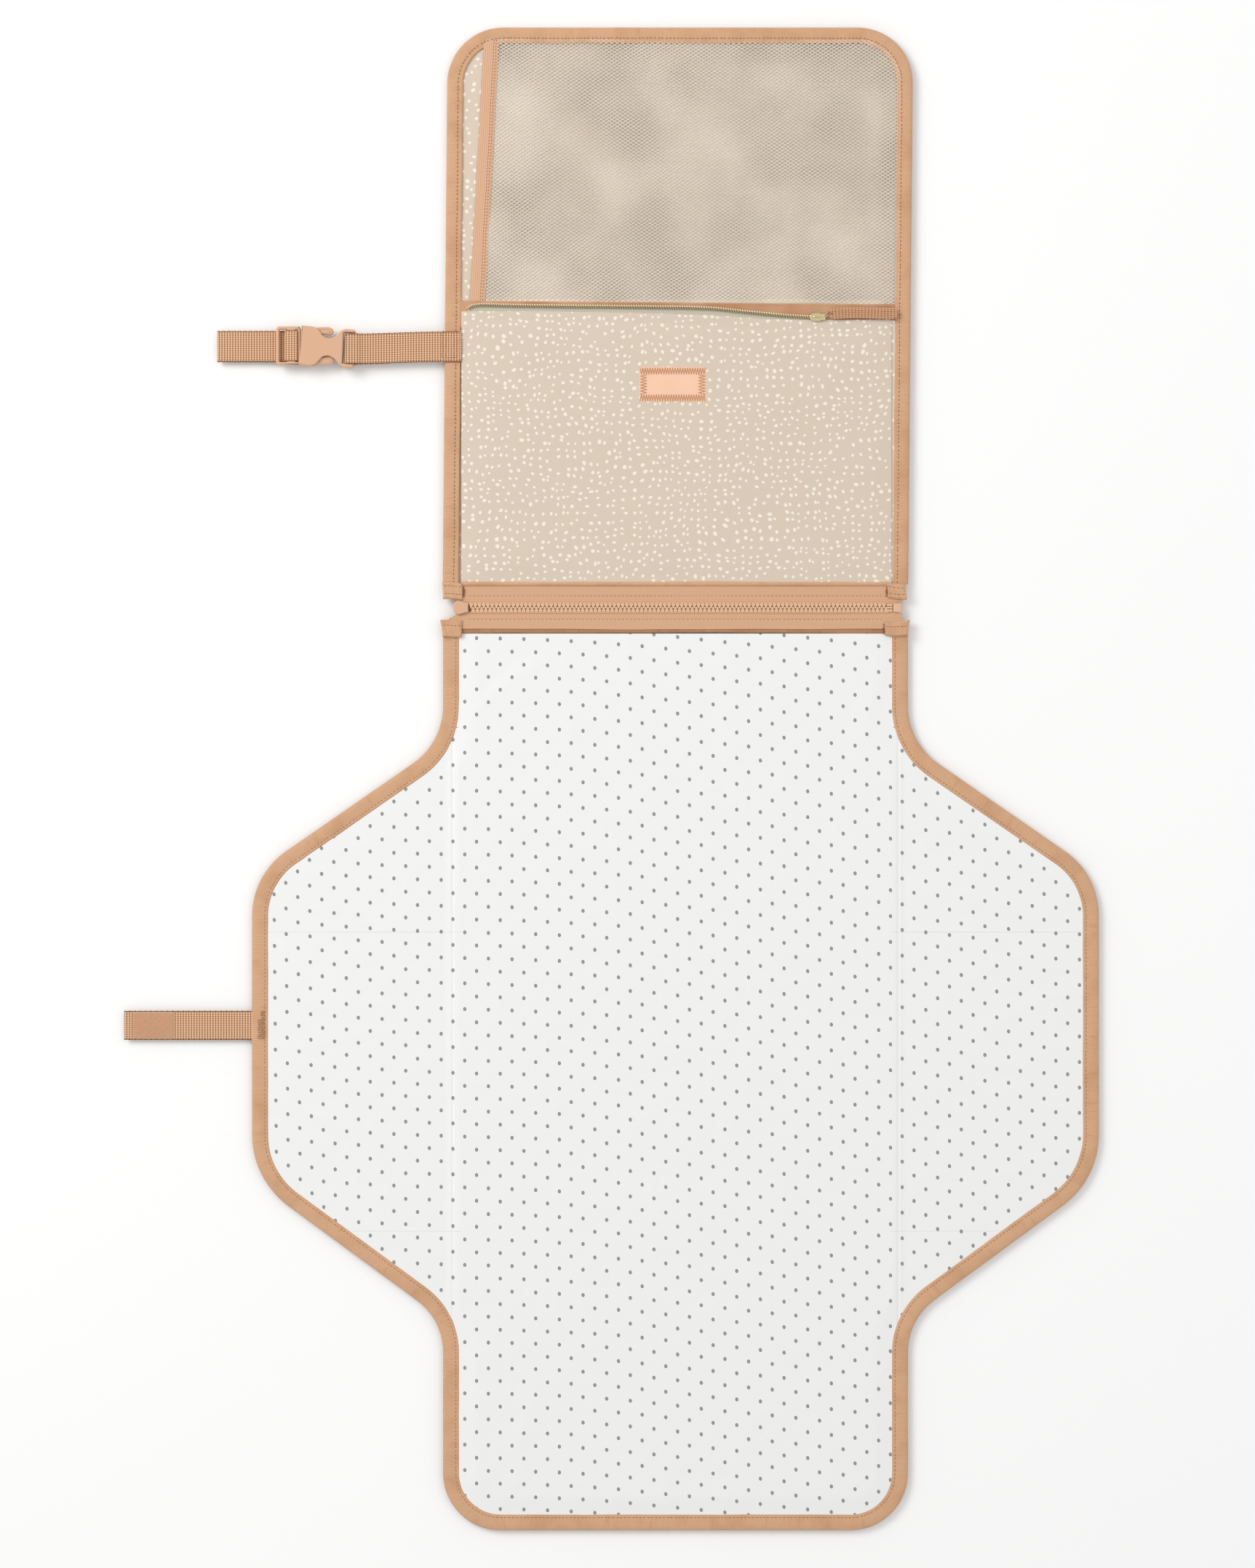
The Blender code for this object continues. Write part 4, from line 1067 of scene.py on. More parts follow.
def elastic_material():
    m = Mat("ribbed_elastic", srgb(213, 168, 134), 0.7, sheen=0.25, spec=0.3)
    vec, s, d, _ = m.rest()
    rib = m.sine(d, 1.25 * MM)
    cross = m.sine(s, 0.8 * MM)
    fine, _ = m.noise(vec, 1800, 2.0)
    # painted shade: the grooves between the ribs, where the bump height is low, are coloured darker
    c = m.mix(m.math("MULTIPLY", rib, 0.5), srgb(219, 175, 142), srgb(186, 136, 100))
    c = m.mix(m.math("MULTIPLY", fine, 0.2), c, srgb(232, 192, 160))
    m.set("Base Color", c)
    b = m.bump(m.math("MULTIPLY_ADD", cross, 0.25, m.math("SUBTRACT", 1.0, rib)), 0.00016, 0.9)
    m.set("Normal", m.bump(fine, 0.00005, 0.5, b))
    return m.m


def band_material():
    m = Mat("fold_band_tape", srgb(196, 146, 108), 0.8, sheen=0.25, spec=0.3)
    vec, x, y, _ = m.rest()
    cell = m.sine(m.math("ADD", x, m.math("MULTIPLY", y, 0.6)), 0.75 * MM)
    cell2 = m.sine(m.math("SUBTRACT", y, m.math("MULTIPLY", x, 0.15)), 0.8 * MM)
    grain = m.math("MULTIPLY", cell, cell2)
    big, _ = m.noise(vec, 35, 3.0)
    fine, _ = m.noise(vec, 1500, 2.0)
    # painted shade: the hollows of the woven grain, where the bump height is low, are coloured darker
    c = m.mix(grain, srgb(186, 134, 97), srgb(207, 160, 125))
    c = m.mix(m.ramp(big, 0.35, 0.75), c, srgb(214, 170, 137), "MIX")
    c = m.mix(m.math("MULTIPLY", fine, 0.2), c, srgb(168, 116, 80))
    m.set("Base Color", c)
    b = m.bump(grain, 0.00015, 0.9)
    m.set("Normal", m.bump(fine, 0.00005, 0.5, b))
    return m.m


def khaki_material():
    m = Mat("khaki_zip_tape", srgb(196, 188, 158), 0.8, sheen=0.2, spec=0.3)
    vec, x, y, _ = m.rest()
    rib = m.sine(x, 0.9 * MM)
    fine, _ = m.noise(vec, 1500, 2.0)
    # painted shade: the grooves between the ribs, where the bump height is low, are coloured darker
    c = m.mix(rib, srgb(178, 170, 148), srgb(202, 196, 178))
    m.set("Base Color", m.mix(m.math("MULTIPLY", fine, 0.2), c, srgb(214, 209, 194)))
    m.set("Normal", m.bump(rib, 0.0001, 0.8))
    return m.m


def net_material():
    m = Mat("net_strand", srgb(248, 240, 228), 0.5, sheen=0.2, spec=0.4)
    vec = m.rest()[0]
    big, _ = m.noise(vec, 40, 2.0)
    m.set("Base Color", m.mix(big, srgb(255, 250, 240), srgb(248, 239, 226)))
    return m.m


def braid_material():
    m = Mat("braided_cord", srgb(202, 152, 116), 0.75, sheen=0.3, spec=0.3)
    vec, s, d, h = m.rest()
    fine, _ = m.noise(vec, 2400, 2.0)
    # painted shade: by the stitch height in rest z, the hollows between the braid's stitches are coloured dark brown
    c = m.mix(m.ramp(h, 0.10, 0.75), srgb(134, 82, 48), srgb(206, 156, 120))
    m.set("Base Color", m.mix(m.math("MULTIPLY", fine, 0.2), c, srgb(232, 190, 156)))
    m.set("Normal", m.bump(fine, 0.00008, 0.7))
    return m.m


def peach_material():
    m = Mat("peach_patch", srgb(246, 206, 182), 0.6, sheen=0.1, spec=0.35)
    vec, x, y, _ = m.rest()
    fine, _ = m.noise(vec, 1400, 2.0)
    big, _ = m.noise(vec, 60, 2.0)
    m.set("Base Color", m.mix(big, srgb(243, 200, 172), srgb(236, 190, 160)))
    m.set("Normal", m.bump(fine, 0.00006, 0.6))
    return m.m


M_ELASTIC = elastic_material()
M_BAND = band_material()
M_KHAKI = khaki_material()
M_NET = net_material()
M_BRAID = braid_material()
M_PEACH = peach_material()

# ------------------------------------------------------------------ clutch
BA, BB = FOLD_Y - 1.5 * MM, FOLD_Y + 12.5 * MM    # where the clutch's cloth starts and stops bending


def fold_clutch(o):
    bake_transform(o)


def span_sheet(name, xl, xr, ys, top, base, nx, mats, mt=0, mb=0, rest=None):
    """A closed sheet whose left and right edges are functions of y."""
    g = []
    for y in ys:
        g.append(np.stack([np.linspace(xl(y), xr(y), nx), np.full(nx, y)], 1))
    g = np.array(g)
    X, Y = g[..., 0], g[..., 1]
    b = Build()
    slab(b, np.dstack([X, Y, top(X, Y)]), np.dstack([X, Y, base(X, Y)]), mt, mb, mt, rest=rest)
    return b.obj(name, mats)


FLAP_R = 36 * MM


def cl_half(y, d):
    """Half width of the clutch at y, inside the edge by d."""
    y = np.asarray(y, float)
    r = FLAP_R - d
    yc = FLAP_HIGH - FLAP_R
    up = np.clip(y - yc, 0, r - 1e-6)
    return CL_HALF - FLAP_R + np.sqrt(r * r - up * up)


def lean(y):
    """The clutch lies a touch askew: its far end sits a little to the right."""
    return 0.009 * np.clip(np.asarray(y, float) - BASE_LOW, 0, None)


def rows(a, b, pitch):
    return np.linspace(a, b, max(2, int(round((b - a) / pitch)) + 1))


D_IN = 5.5 * MM
ys_shell = np.r_[rows(BASE_LOW + 0.5 * MM, BA - 0.5 * MM, 6 * MM), rows(BA, BB, 1 * MM)[0:],
                 rows(BB + 1 * MM, FLAP_HIGH - FLAP_R, 6 * MM)[0:], rows(FLAP_HIGH - FLAP_R + 1.5 * MM, FLAP_HIGH - D_IN, 1.8 * MM)]
shell = span_sheet("clutch_shell", lambda y: float(lean(y) - cl_half(y, D_IN)), lambda y: float(lean(y) + cl_half(y, D_IN)), ys_shell,
                   lambda X, Y: 0.55 * MM + 0 * X, lambda X, Y: 0.05 * MM + 0 * X, 48, [M_DOT])
rest = shell.data.attributes["rest"].data      # the outer cloth's pattern spreads where it stretches round the fold
r = np.zeros(len(rest) * 3)
rest.foreach_get("vector", r)
r = r.reshape(-1, 3)
r[:, 1] += 15 * MM * np.tanh((r[:, 1] - (BA + BB) / 2) / (4.5 * MM))
rest.foreach_set("vector", r.ravel())
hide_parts("base_outer_shell", "flap_outer_shell")
fold_clutch(shell)


def cloth_wave(x, y, amp, seed=0.0):
    x, y = x / MM, y / MM
    h = np.sin(x / 19 + 1.3 * np.sin(y / 33 + seed) + seed) * np.sin(y / 23 + 0.9 * np.sin(x / 47 + seed))
    h += 0.5 * np.sin(x / 9.1 + y / 13.7 + seed * 2) * np.sin(x / 41 - y / 27)
    return h * amp


def flap_top(X, Y):
    d = np.minimum(cl_half(Y, 0) - np.abs(X - lean(Y)), FLAP_HIGH - Y)
    rise = step(d, 8 * MM, 26 * MM)
    return 1.55 * MM + 0.75 * MM * rise + cloth_wave(X, Y, 0.16 * MM, 0.4) * rise


ys_flap = np.r_[rows(FOLD_Y + 2.6 * MM, BB, 1.2 * MM), rows(BB + 2 * MM, FLAP_HIGH - FLAP_R, 2.6 * MM),
                rows(FLAP_HIGH - FLAP_R + 1.5 * MM, FLAP_HIGH - D_IN, 1.6 * MM)]
o = span_sheet("flap_lining_sheet", lambda y: float(lean(y) - cl_half(y, D_IN)), lambda y: float(lean(y) + cl_half(y, D_IN)), ys_flap,
               lambda X, Y: np.minimum(flap_top(X, Y) - 0.25 * MM, 2.22 * MM), lambda X, Y: 0.6 * MM + 0 * X, 110, [M_DOT, M_TAUPE])
mids = np.zeros(len(o.data.polygons) * 3)
o.data.polygons.foreach_get("center", mids)
mids = mids.reshape(-1, 3)
el = -0.128 + 0.0092 * (mids[:, 1] - 0.5047) / 0.169
o.data.polygons.foreach_set("material_index", ((mids[:, 0] > el) & (mids[:, 2] > 1.0 * MM)).astype(np.int32))
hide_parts("flap_lining", "flap_padding")
fold_clutch(o)

# the pocket's front: top edge sags towards the right, as the pocket zip does
P_TOP_X = np.array([-150, -134, -88, -18, 24, 45, 62, 90, 137, 150]) * MM
P_TOP_Y = np.array([497.4, 498.0, 498.0, 496.7, 495.4, 494.0, 492.7, 492.4, 492.8, 492.8]) * MM


def pocket_top_y(x):
    return np.interp(x, P_TOP_X, P_TOP_Y)


def pocket_height(X, Y):
    d = np.minimum.reduce([CL_HALF - 8 * MM - np.abs(X), Y - BASE_LOW + 2 * MM, pocket_top_y(X) - Y + 1.2 * MM])
    rise = step(d, 2 * MM, 16 * MM)
    z = 3.35 * MM + 0.55 * MM * rise + cloth_wave(X, Y, 0.30 * MM, 1.9) * rise
    t = pocket_top_y(X) - Y
    z += 0.16 * MM * np.exp(-((t - 1.6 * MM) / (1.6 * MM)) ** 2)
    z -= 0.34 * MM * np.exp(-((t - 5.6 * MM) / (0.8 * MM)) ** 2)
    z -= step(t, 0.35 * MM, 0.0) * 0.2 * MM
    side = X + CL_HALF - 12.2 * MM
    z -= 0.22 * MM * np.exp(-((side - 2.6 * MM) / (0.7 * MM)) ** 2)
    z -= step(np.minimum(side, CL_HALF - 10.9 * MM - X), 0.5 * MM, 0.0) * 0.3 * MM
    # a few soft folds seen on the front
    for x0, y0, ang, w, a, length in ((-96, 470, 1.2, 7, 0.32, 30), (-60, 360, 0.3, 9, 0.30, 60), (40, 350, 2.7, 9, 0.28, 50),
                                      (92, 452, 1.8, 8, 0.30, 36), (10, 480, 0.1, 6, 0.25, 50), (-120, 400, 1.5, 8, 0.3, 40)):
        dx, dy = X / MM - x0, Y / MM - y0
        along = dx * math.cos(ang) + dy * math.sin(ang)
        across = -dx * math.sin(ang) + dy * math.cos(ang)
        z += a * MM * np.exp(-(across / w) ** 2 - (along / length) ** 2) * rise * 0.8
    return z


xs = np.linspace(-CL_HALF + 12.2 * MM, CL_HALF - 10.9 * MM, 150)
tv = np.r_[0, 0.006, 0.014, np.linspace(0.022, 0.965, 90), 0.972, 0.979, 0.986, 0.993, 1.0]
X = np.repeat(xs[None, :], len(tv), 0)
Ytop = pocket_top_y(xs)
Y = (BASE_LOW - 0.6 * MM) + (Ytop - BASE_LOW + 0.6 * MM)[None, :] * tv[:, None]
b = Build()
slab(b, np.dstack([X, Y, pocket_height(X, Y)]), np.dstack([X, Y, np.full(X.shape, 0.62 * MM)]), 0, 0, 0)
line = np.stack([xs[4:-3], pocket_top_y(xs[4:-3]) - 5.6 * MM], 1)
lz = pocket_height(line[:, 0], line[:, 1])
thread_run(b, np.c_[line, lz], np.array([0, 0, 1.0]), 1, pitch=2.9 * MM, length=2.0 * MM, r=0.19 * MM)
sx = -CL_HALF + 14.8 * MM
line = np.stack([np.full(80, sx), np.linspace(BASE_LOW + 3 * MM, 492 * MM, 80)], 1)
thread_run(b, np.c_[line, pocket_height(line[:, 0], line[:, 1])], np.array([0, 0, 1.0]), 1, pitch=2.9 * MM, length=2.0 * MM, r=0.17 * MM)
pocket = b.obj("clutch_pocket_front", [M_DOT, M_THREAD_CREAM])
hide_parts("base_pocket_front", "base_padding", "base_lining")
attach(pocket, "clutch_base")

# a little of the lining shows between the pocket and the binding on the right
strip_r = span_sheet("lining_edge_strip", lambda y: 139.7 * MM, lambda y: 141.6 * MM + lean(y), np.linspace(BASE_LOW + 1 * MM, 492 * MM, 60),
                     lambda X, Y: 2.45 * MM + cloth_wave(X, Y, 0.10 * MM, 8.0), lambda X, Y: 0.6 * MM + 0 * X, 6, [M_DOT])
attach(strip_r, "clutch_base")

# the tan band the flap folds along
b = Build()
nx = 260
xs = np.linspace(-(CL_HALF - 8.8 * MM), CL_HALF - 8.8 * MM, nx)
band_top = np.interp(xs, np.array([-142, -137, 30, 142]) * MM, np.array([505.2, 505.0, 503.4, 502.6]) * MM)
vv = np.r_[0, np.linspace(0.05, 0.9, 16), 0.94, 0.97, 1]
low = 488.0 * MM
X = np.repeat(xs[None], len(vv), 0)
Y = low + (band_top - low)[None] * vv[:, None]
T = 2.55 * MM + cloth_wave(X, Y, 0.14 * MM, 3.1) + 0.28 * MM * np.exp(-((band_top[None] - Y - 0.7 * MM) / (0.6 * MM)) ** 2)
T -= step(band_top[None] - Y, 0.35 * MM, 0) * 0.35 * MM
slab(b, np.dstack([X, Y, T]), np.dstack([X, Y, np.full(X.shape, 1.0 * MM)]))
band = b.obj("fold_band", [M_BAND])
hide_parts("fold_tape")
fold_clutch(band)

# clutch binding: one run up the left side, round the flap and down the right side
CL_SIDE = [(-CL_HALF, BASE_LOW - 0.5 * MM, 0), (-CL_HALF, FLAP_HIGH, FLAP_R), (CL_HALF, FLAP_HIGH, FLAP_R),
           (CL_HALF, BASE_LOW - 0.5 * MM, 0)]
cl_path = rounded(CL_SIDE)
CL_PROF = binding_profile(10.3 * MM, CL_T - 0.25 * MM)


o = binding("clutch_binding", cl_path, 1, CL_PROF, offset_seed=12, wob=0.30 * MM, stitch_d=7.2 * MM, shift=lean)
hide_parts("base_binding_left", "base_binding_right", "flap_binding")
fold_clutch(o)

# ------------------------------------------------------------------ flap: net pocket and its elastic edge
E_BL, E_BR = np.array([-132.8, 504.6]) * MM, np.array([-123.2, 504.6]) * MM
E_TL, E_TR = np.array([-123.6, 674.0]) * MM, np.array([-114.0, 674.0]) * MM


def net_height(x, y):
    return 2.52 * MM + cloth_wave(x, y, 0.10 * MM, 5.2) - 0.45 * MM * step(y, FOLD_Y + 7 * MM, FOLD_Y + 4.5 * MM)


b = Build()
nv = 240
g = quad_grid([E_BL, E_BR, E_TR, E_TL], 14, nv)
X, Y = g[..., 0], g[..., 1]
X = X + 0.25 * MM * wave(Y, 2.0, 30 * MM)
u = np.linspace(0, 1, 14)[None, :] * np.ones((nv, 1))
T = 2.80 * MM + 0.18 * MM * (1 - (2 * u - 1) ** 4) + cloth_wave(X, Y, 0.12 * MM, 2.2)
rest = np.dstack([Y, u * 9.6 * MM, T])
slab(b, np.dstack([X, Y, T]), np.dstack([X, Y, T - 0.55 * MM]), 0, 0, 0, rest=rest)
for d in (6.6 * MM, 8.1 * MM):
    k = d / (9.6 * MM)
    xx = E_BL[0] + (E_BR[0] - E_BL[0]) * k + (E_TL[0] - E_BL[0]) * np.linspace(0, 1, 200) + 0.25 * MM * wave(np.linspace(E_BL[1], E_TL[1], 200), 2.0, 30 * MM)
    yy = np.linspace(E_BL[1], E_TL[1], 200)
    zz = 2.80 * MM + 0.18 * MM * (1 - (2 * k - 1) ** 4) + cloth_wave(xx, yy, 0.12 * MM, 2.2)
    thread_run(b, np.c_[xx, yy, zz], np.array([0, 0, 1.0]), 1, pitch=2.0 * MM, length=1.2 * MM, r=0.16 * MM)
o = b.obj("net_pocket_elastic", [M_ELASTIC, M_THREAD_DARK])
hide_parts("flap_elastic")
fold_clutch(o)

# net: wavy strands that touch their neighbours, so that diamonds stay open between them
CELL_X, CELL_Y = 3.5 * MM, 1.16 * MM


def net(name, share0, share1):
    b = Build()
    y0, y1 = FOLD_Y + 2.9 * MM, FLAP_HIGH - 7.5 * MM
    nrows = int((y1 - y0) / CELL_Y)
    per = 4
    r = 0.27 * MM
    ring = np.array([(0, 1), (0.87, -0.5), (-0.87, -0.5)]) * r
    for k in range(int(nrows * share0), int(nrows * share1)):
        yc = y0 + (k + 0.5) * CELL_Y
        half = float(lean(yc) + cl_half(yc, 7.5 * MM))
        t = (yc - E_BL[1]) / (E_TL[1] - E_BL[1])
        xl = E_BR[0] - 0.8 * MM + (E_TR[0] - E_BR[0]) * t
        xs = np.arange(xl, half, CELL_X / per)
        ph = xs / CELL_X * TAU + (math.pi if k % 2 else 0.0)
        tri = np.clip(1.35 * 2 / math.pi * np.arcsin(np.sin(ph)), -1, 1)
        yy = yc + tri * (CELL_Y / 2 - 0.06 * MM)
        # the net is stretched and slackened here and there
        warp = 1.5 * MM * np.sin(xs / (46 * MM) + 1.0) * np.sin(yc / (61 * MM)) + 0.5 * MM * np.sin(xs / (17 * MM) + yc / (23 * MM))
        yy = yy + warp * 0.9
        yy = np.clip(yy, y0 - 1.0 * MM, y1 + 1.5 * MM)
        zz = net_height(xs, yy) + 0.05 * MM * np.cos(ph * 2)
        p = np.stack([xs, yy, zz], 1)
        d = np.gradient(p, axis=0)
        d /= np.linalg.norm(d, axis=1)[:, None]
        side = np.stack([-d[:, 1], d[:, 0], np.zeros(len(d))], 1)
        side /= np.linalg.norm(side, axis=1)[:, None]
        up = np.cross(d, side)
        rings = p[:, None, :] + side[:, None, :] * ring[None, :, 0, None] + up[:, None, :] * ring[None, :, 1, None]
        tube(b, rings, 0)
    return b.obj(name, [M_NET])


for name, a, c in (("flap_net_near", 0, 0.5), ("flap_net_far", 0.5, 1)):
    o = net(name, a, c)
    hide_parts("flap_mesh_pocket")
    fold_clutch(o)

# ------------------------------------------------------------------ pocket zip
COIL = np.array([(-134.6, 499.0), (-132.6, 500.8), (-129.5, 501.7), (-124, 502.0), (-107.4, 501.5), (-69.8, 501.0),
                 (-22.8, 500.6), (8, 500.2), (24.2, 499.6), (47.2, 497.2), (70.7, 494.9), (88.0, 493.9)]) * MM
cs = np.r_[0, np.cumsum(np.linalg.norm(np.diff(COIL, axis=0), axis=1))]
q = np.linspace(0, cs[-1], 900)
coil_path = np.stack([np.interp(q, cs, COIL[:, 0]), np.interp(q, cs, COIL[:, 1])], 1)
ker = np.ones(25) / 25
coil_path = np.stack([np.convolve(np.r_[np.full(12, coil_path[0, k]), coil_path[:, k], np.full(12, coil_path[-1, k])], ker, "valid") for k in (0, 1)], 1)
cp, ct, csn = resample(coil_path, 0.11 * MM)
cn = np.stack([-ct[:, 1], ct[:, 0]], 1)
turn = csn / (1.56 * MM) * TAU
COIL_Z = 4.05 * MM
off_y, off_z = 1.05 * MM * np.cos(turn), 0.42 * MM * np.sin(turn)
centre = np.c_[cp + cn * off_y[:, None], COIL_Z + off_z]
b = Build()


def wire(build, centre, r, sides=6, mat=0, ref=np.array([0, 0, 1.0])):
    d = np.gradient(centre, axis=0)
    d /= np.linalg.norm(d, axis=1)[:, None]
    side = np.cross(d, ref)
    side /= np.maximum(np.linalg.norm(side, axis=1), 1e-9)[:, None]
    up = np.cross(side, d)
    ang = np.arange(sides) * TAU / sides
    r = np.broadcast_to(r, (len(centre),))
    rings = centre[:, None, :] + (side[:, None, :] * np.cos(ang)[None, :, None] + up[:, None, :] * np.sin(ang)[None, :, None]) * r[:, None, None]
    tube(build, rings, mat)


wire(b, centre, 0.36 * MM)
# rest x holds the cosine of each turn, which the coil material turns into painted light on the upper ends and painted
# shade on the lower halves
b.r[0] = np.repeat(np.c_[np.cos(turn), np.zeros(len(turn)), np.zeros(len(turn))], 6, 0)
coil = b.obj("pocket_zip_coil_wire", [M_COIL])
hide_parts("pocket_zip_coil")
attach(coil, "clutch_base")

# its tape, seen as a khaki strip between the coil and the pocket's edge
b = Build()
tp, tt, ts = resample(coil_path, 1.2 * MM)
vv = np.linspace(0, 1, 7)
g = []
for p in tp:
    low = pocket_top_y(p[0]) - 3.0 * MM
    g.append([(p[0] + 0 * v, low + (p[1] + 0.4 * MM - low) * v, 0) for v in vv])
g = np.array(g)
top = g.copy()
top[..., 2] = 3.05 * MM + 0.05 * MM * np.sin(g[..., 0] / (9 * MM))
bot = g.copy()
bot[..., 2] = 2.75 * MM
slab(b, top, bot)
o = b.obj("pocket_zip_tape_strip", [M_KHAKI])
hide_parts("pocket_zip_tape")
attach(o, "clutch_base")

# slider of the pocket zip
SLO, SHI = lo("pocket_zip_slider"), hi("pocket_zip_slider")
PS = np.array([(SLO[0] + SHI[0]) / 2, (SLO[1] + SHI[1]) / 2, 0])
b = Build()
half = [(-5.2, 1.1, 0.8), (-3.4, 2.5, 1.2), (0.6, 2.7, 1.4), (2.4, 1.9, 1.2), (5.0, 2.3, 1.0), (5.2, 0.0, 0)]
outline = [(x, y, r) for x, y, r in half[:-1]] + [(x, -y, r) for x, y, r in reversed(half[:-1])]
outline = round_loop([(x * MM + PS[0], y * MM + PS[1] - 0.4 * MM, r * MM) for x, y, r in outline])
plate(b, [outline], 4.35 * MM, 5.15 * MM, 0.32 * MM)
plate(b, [outline], 3.45 * MM, 3.85 * MM, 0.15 * MM)
post = round_loop([(PS[0] - 5.0 * MM, PS[1] - 1.2 * MM, 0.4 * MM), (PS[0] - 2.6 * MM, PS[1] - 1.2 * MM, 0.4 * MM),
                   (PS[0] - 2.6 * MM, PS[1] + 0.4 * MM, 0.4 * MM), (PS[0] - 5.0 * MM, PS[1] + 0.4 * MM, 0.4 * MM)])
plate(b, [post], 3.7 * MM, 4.5 * MM, 0.1 * MM)
# the bail the pull hangs from
ang = np.linspace(0, math.pi, 15)
arch = np.c_[PS[0] - 0.6 * MM - 2.6 * MM * np.cos(ang), np.full(15, PS[1] - 0.4 * MM), 5.0 * MM + 0.95 * MM * np.sin(ang)]
wire(b, arch, 0.42 * MM, 8, ref=np.array([0, 1.0, 0]))
o = b.obj("pocket_slider_body", [M_METAL])
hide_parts("pocket_zip_slider")
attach(o, "pocket_slider")

# its pull: a metal link and a flat braided cord
PLO, PHI = lo("pocket_zip_pull"), hi("pocket_zip_pull")
py = (PLO[1] + PHI[1]) / 2
b = Build()
n = 60
u = np.linspace(0, 1, n)
cx = PLO[0] + 1.0 * MM + (PHI[0] - PLO[0] - 1.2 * MM) * u
cy = py - 1.1 * MM + 0.9 * MM * u + 0.5 * MM * np.sin(u * 5)
w = 3.65 * MM * np.minimum(1, 0.55 + 3.0 * np.minimum(u, 1 - u) ** 0.7)
base_pts = np.stack([cx, cy], 1)
m = 34
bs, bt, bl = resample(base_pts, 0.42 * MM)
bn = np.stack([-bt[:, 1], bt[:, 0]], 1)
dd = np.linspace(-1, 1, m)
wq = np.interp(bs[:, 0], cx, w)
S, Dn = np.meshgrid(bl, dd, indexing="ij")
Dm = Dn * wq[:, None]
ph = (S - np.abs(((Dm / (1.22 * MM)) % 1) - 0.5) * 1.6 * MM) / (2.1 * MM)
stitch_h = np.abs(np.sin(math.pi * ph)) ** 0.7 * np.abs(np.sin(math.pi * (Dm / (1.22 * MM)))) ** 0.5
hgt = stitch_h * 0.45 * MM * (1 - Dn ** 6)
dome = 0.62 * MM * np.sqrt(np.clip(1 - (2 * np.abs(Dn) - 1) ** 2, 0.02, 1))
zmid = 5.38 * MM
X = bs[:, 0][:, None] + bn[:, 0][:, None] * Dm
Y = bs[:, 1][:, None] + bn[:, 1][:, None] * Dm
# the third rest coordinate is the stitch height, which the braid material turns into painted shade in the hollows
rest = np.dstack([S, Dm, stitch_h])
slab(b, np.dstack([X, Y, zmid + dome + hgt]), np.dstack([X, Y, zmid - dome * 0.6 - hgt * 0.5]), 0, 0, 0, rest=rest, rest_bottom=rest)
knot = np.array([(PLO[0] + 1.5 * MM, py - 1.9 * MM, 5.6 * MM), (PLO[0] + 0.2 * MM, py - 1.2 * MM, 5.9 * MM), (PLO[0] + 1.6 * MM, py - 0.3 * MM, 5.8 * MM), (PLO[0] + 3.0 * MM, py - 1.0 * MM, 5.9 * MM), (PLO[0] + 1.8 * MM, py - 1.9 * MM, 5.7 * MM)])
kp, _, _ = resample(knot, 0.3 * MM)
wire(b, kp, 0.55 * MM, 8)
link = []
for k in range(33):
    t = TAU * k / 32
    link.append((PLO[0] - 0.3 * MM + 2.1 * MM * math.cos(t), py - 1.7 * MM + 0.75 * MM * math.sin(t) + 0.55 * MM * math.cos(t), 5.75 * MM))
wire(b, np.array(link), 0.36 * MM, 8, mat=1)
o = b.obj("pocket_pull_cord", [M_BRAID, M_METAL])
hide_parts("pocket_zip_pull")
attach(o, "pocket_pull")

# ------------------------------------------------------------------ patch: plain, with a zigzag border
QLO, QHI = lo("pocket_patch"), hi("pocket_patch")
qc, qh = (QLO + QHI) / 2, (QHI - QLO) / 2
b = Build()
xs, ys = np.linspace(QLO[0], QHI[0], 60), np.linspace(QLO[1], QHI[1], 34)


def patch_z(X, Y):
    d = np.minimum(qh[0] - np.abs(X - qc[0]), qh[1] - np.abs(Y - qc[1]))
    return pocket_height(X, Y) + 0.05 * MM + 0.22 * MM * step(d, 0, 1.0 * MM)


heightfield(b, xs, ys, patch_z, 3.1 * MM, 0)
zz = []
band_w = 4.5 * MM
for y_edge, sgn in ((QHI[1] - 0.3 * MM, -1), (QLO[1] + 0.3 * MM, 1)):
    n = int((qh[0] * 2 - 0.8 * MM) / (0.80 * MM))
    pts = []
    for k in range(n + 1):
        x = QLO[0] + 0.4 * MM + (qh[0] * 2 - 0.8 * MM) * k / n
        y = y_edge + (sgn * band_w if k % 2 else 0)
        pts.append((x, y, 0))
    zz.append(np.array(pts))
for x_edge, sgn in ((QLO[0] + 0.3 * MM, 1), (QHI[0] - 0.3 * MM, -1)):
    span = qh[1] * 2 - 2 * band_w - 0.8 * MM
    n = int(span / (0.92 * MM))
    pts = []
    for k in range(n + 1):
        y = QLO[1] + band_w + 0.4 * MM + span * k / n
        x = x_edge + (sgn * band_w if k % 2 else 0)
        pts.append((x, y, 0))
    zz.append(np.array(pts))
for pts in zz:
    p, _, _ = resample(pts, 0.45 * MM)
    p[:, 2] = patch_z(p[:, 0], p[:, 1]) + 0.06 * MM
    wire(b, p, 0.24 * MM, 6, mat=1)
o = b.obj("pocket_patch_stitched", [M_PEACH, plain("patch_thread", srgb(206, 152, 114), 0.6, 900, 0.00004, vary=0.20)])
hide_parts("pocket_patch")
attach(o, "clutch_base")

# ------------------------------------------------------------------ main zip
TAPE_L, TAPE_R = -133.5 * MM, 134.5 * MM
TAPE_Z = 2.95 * MM


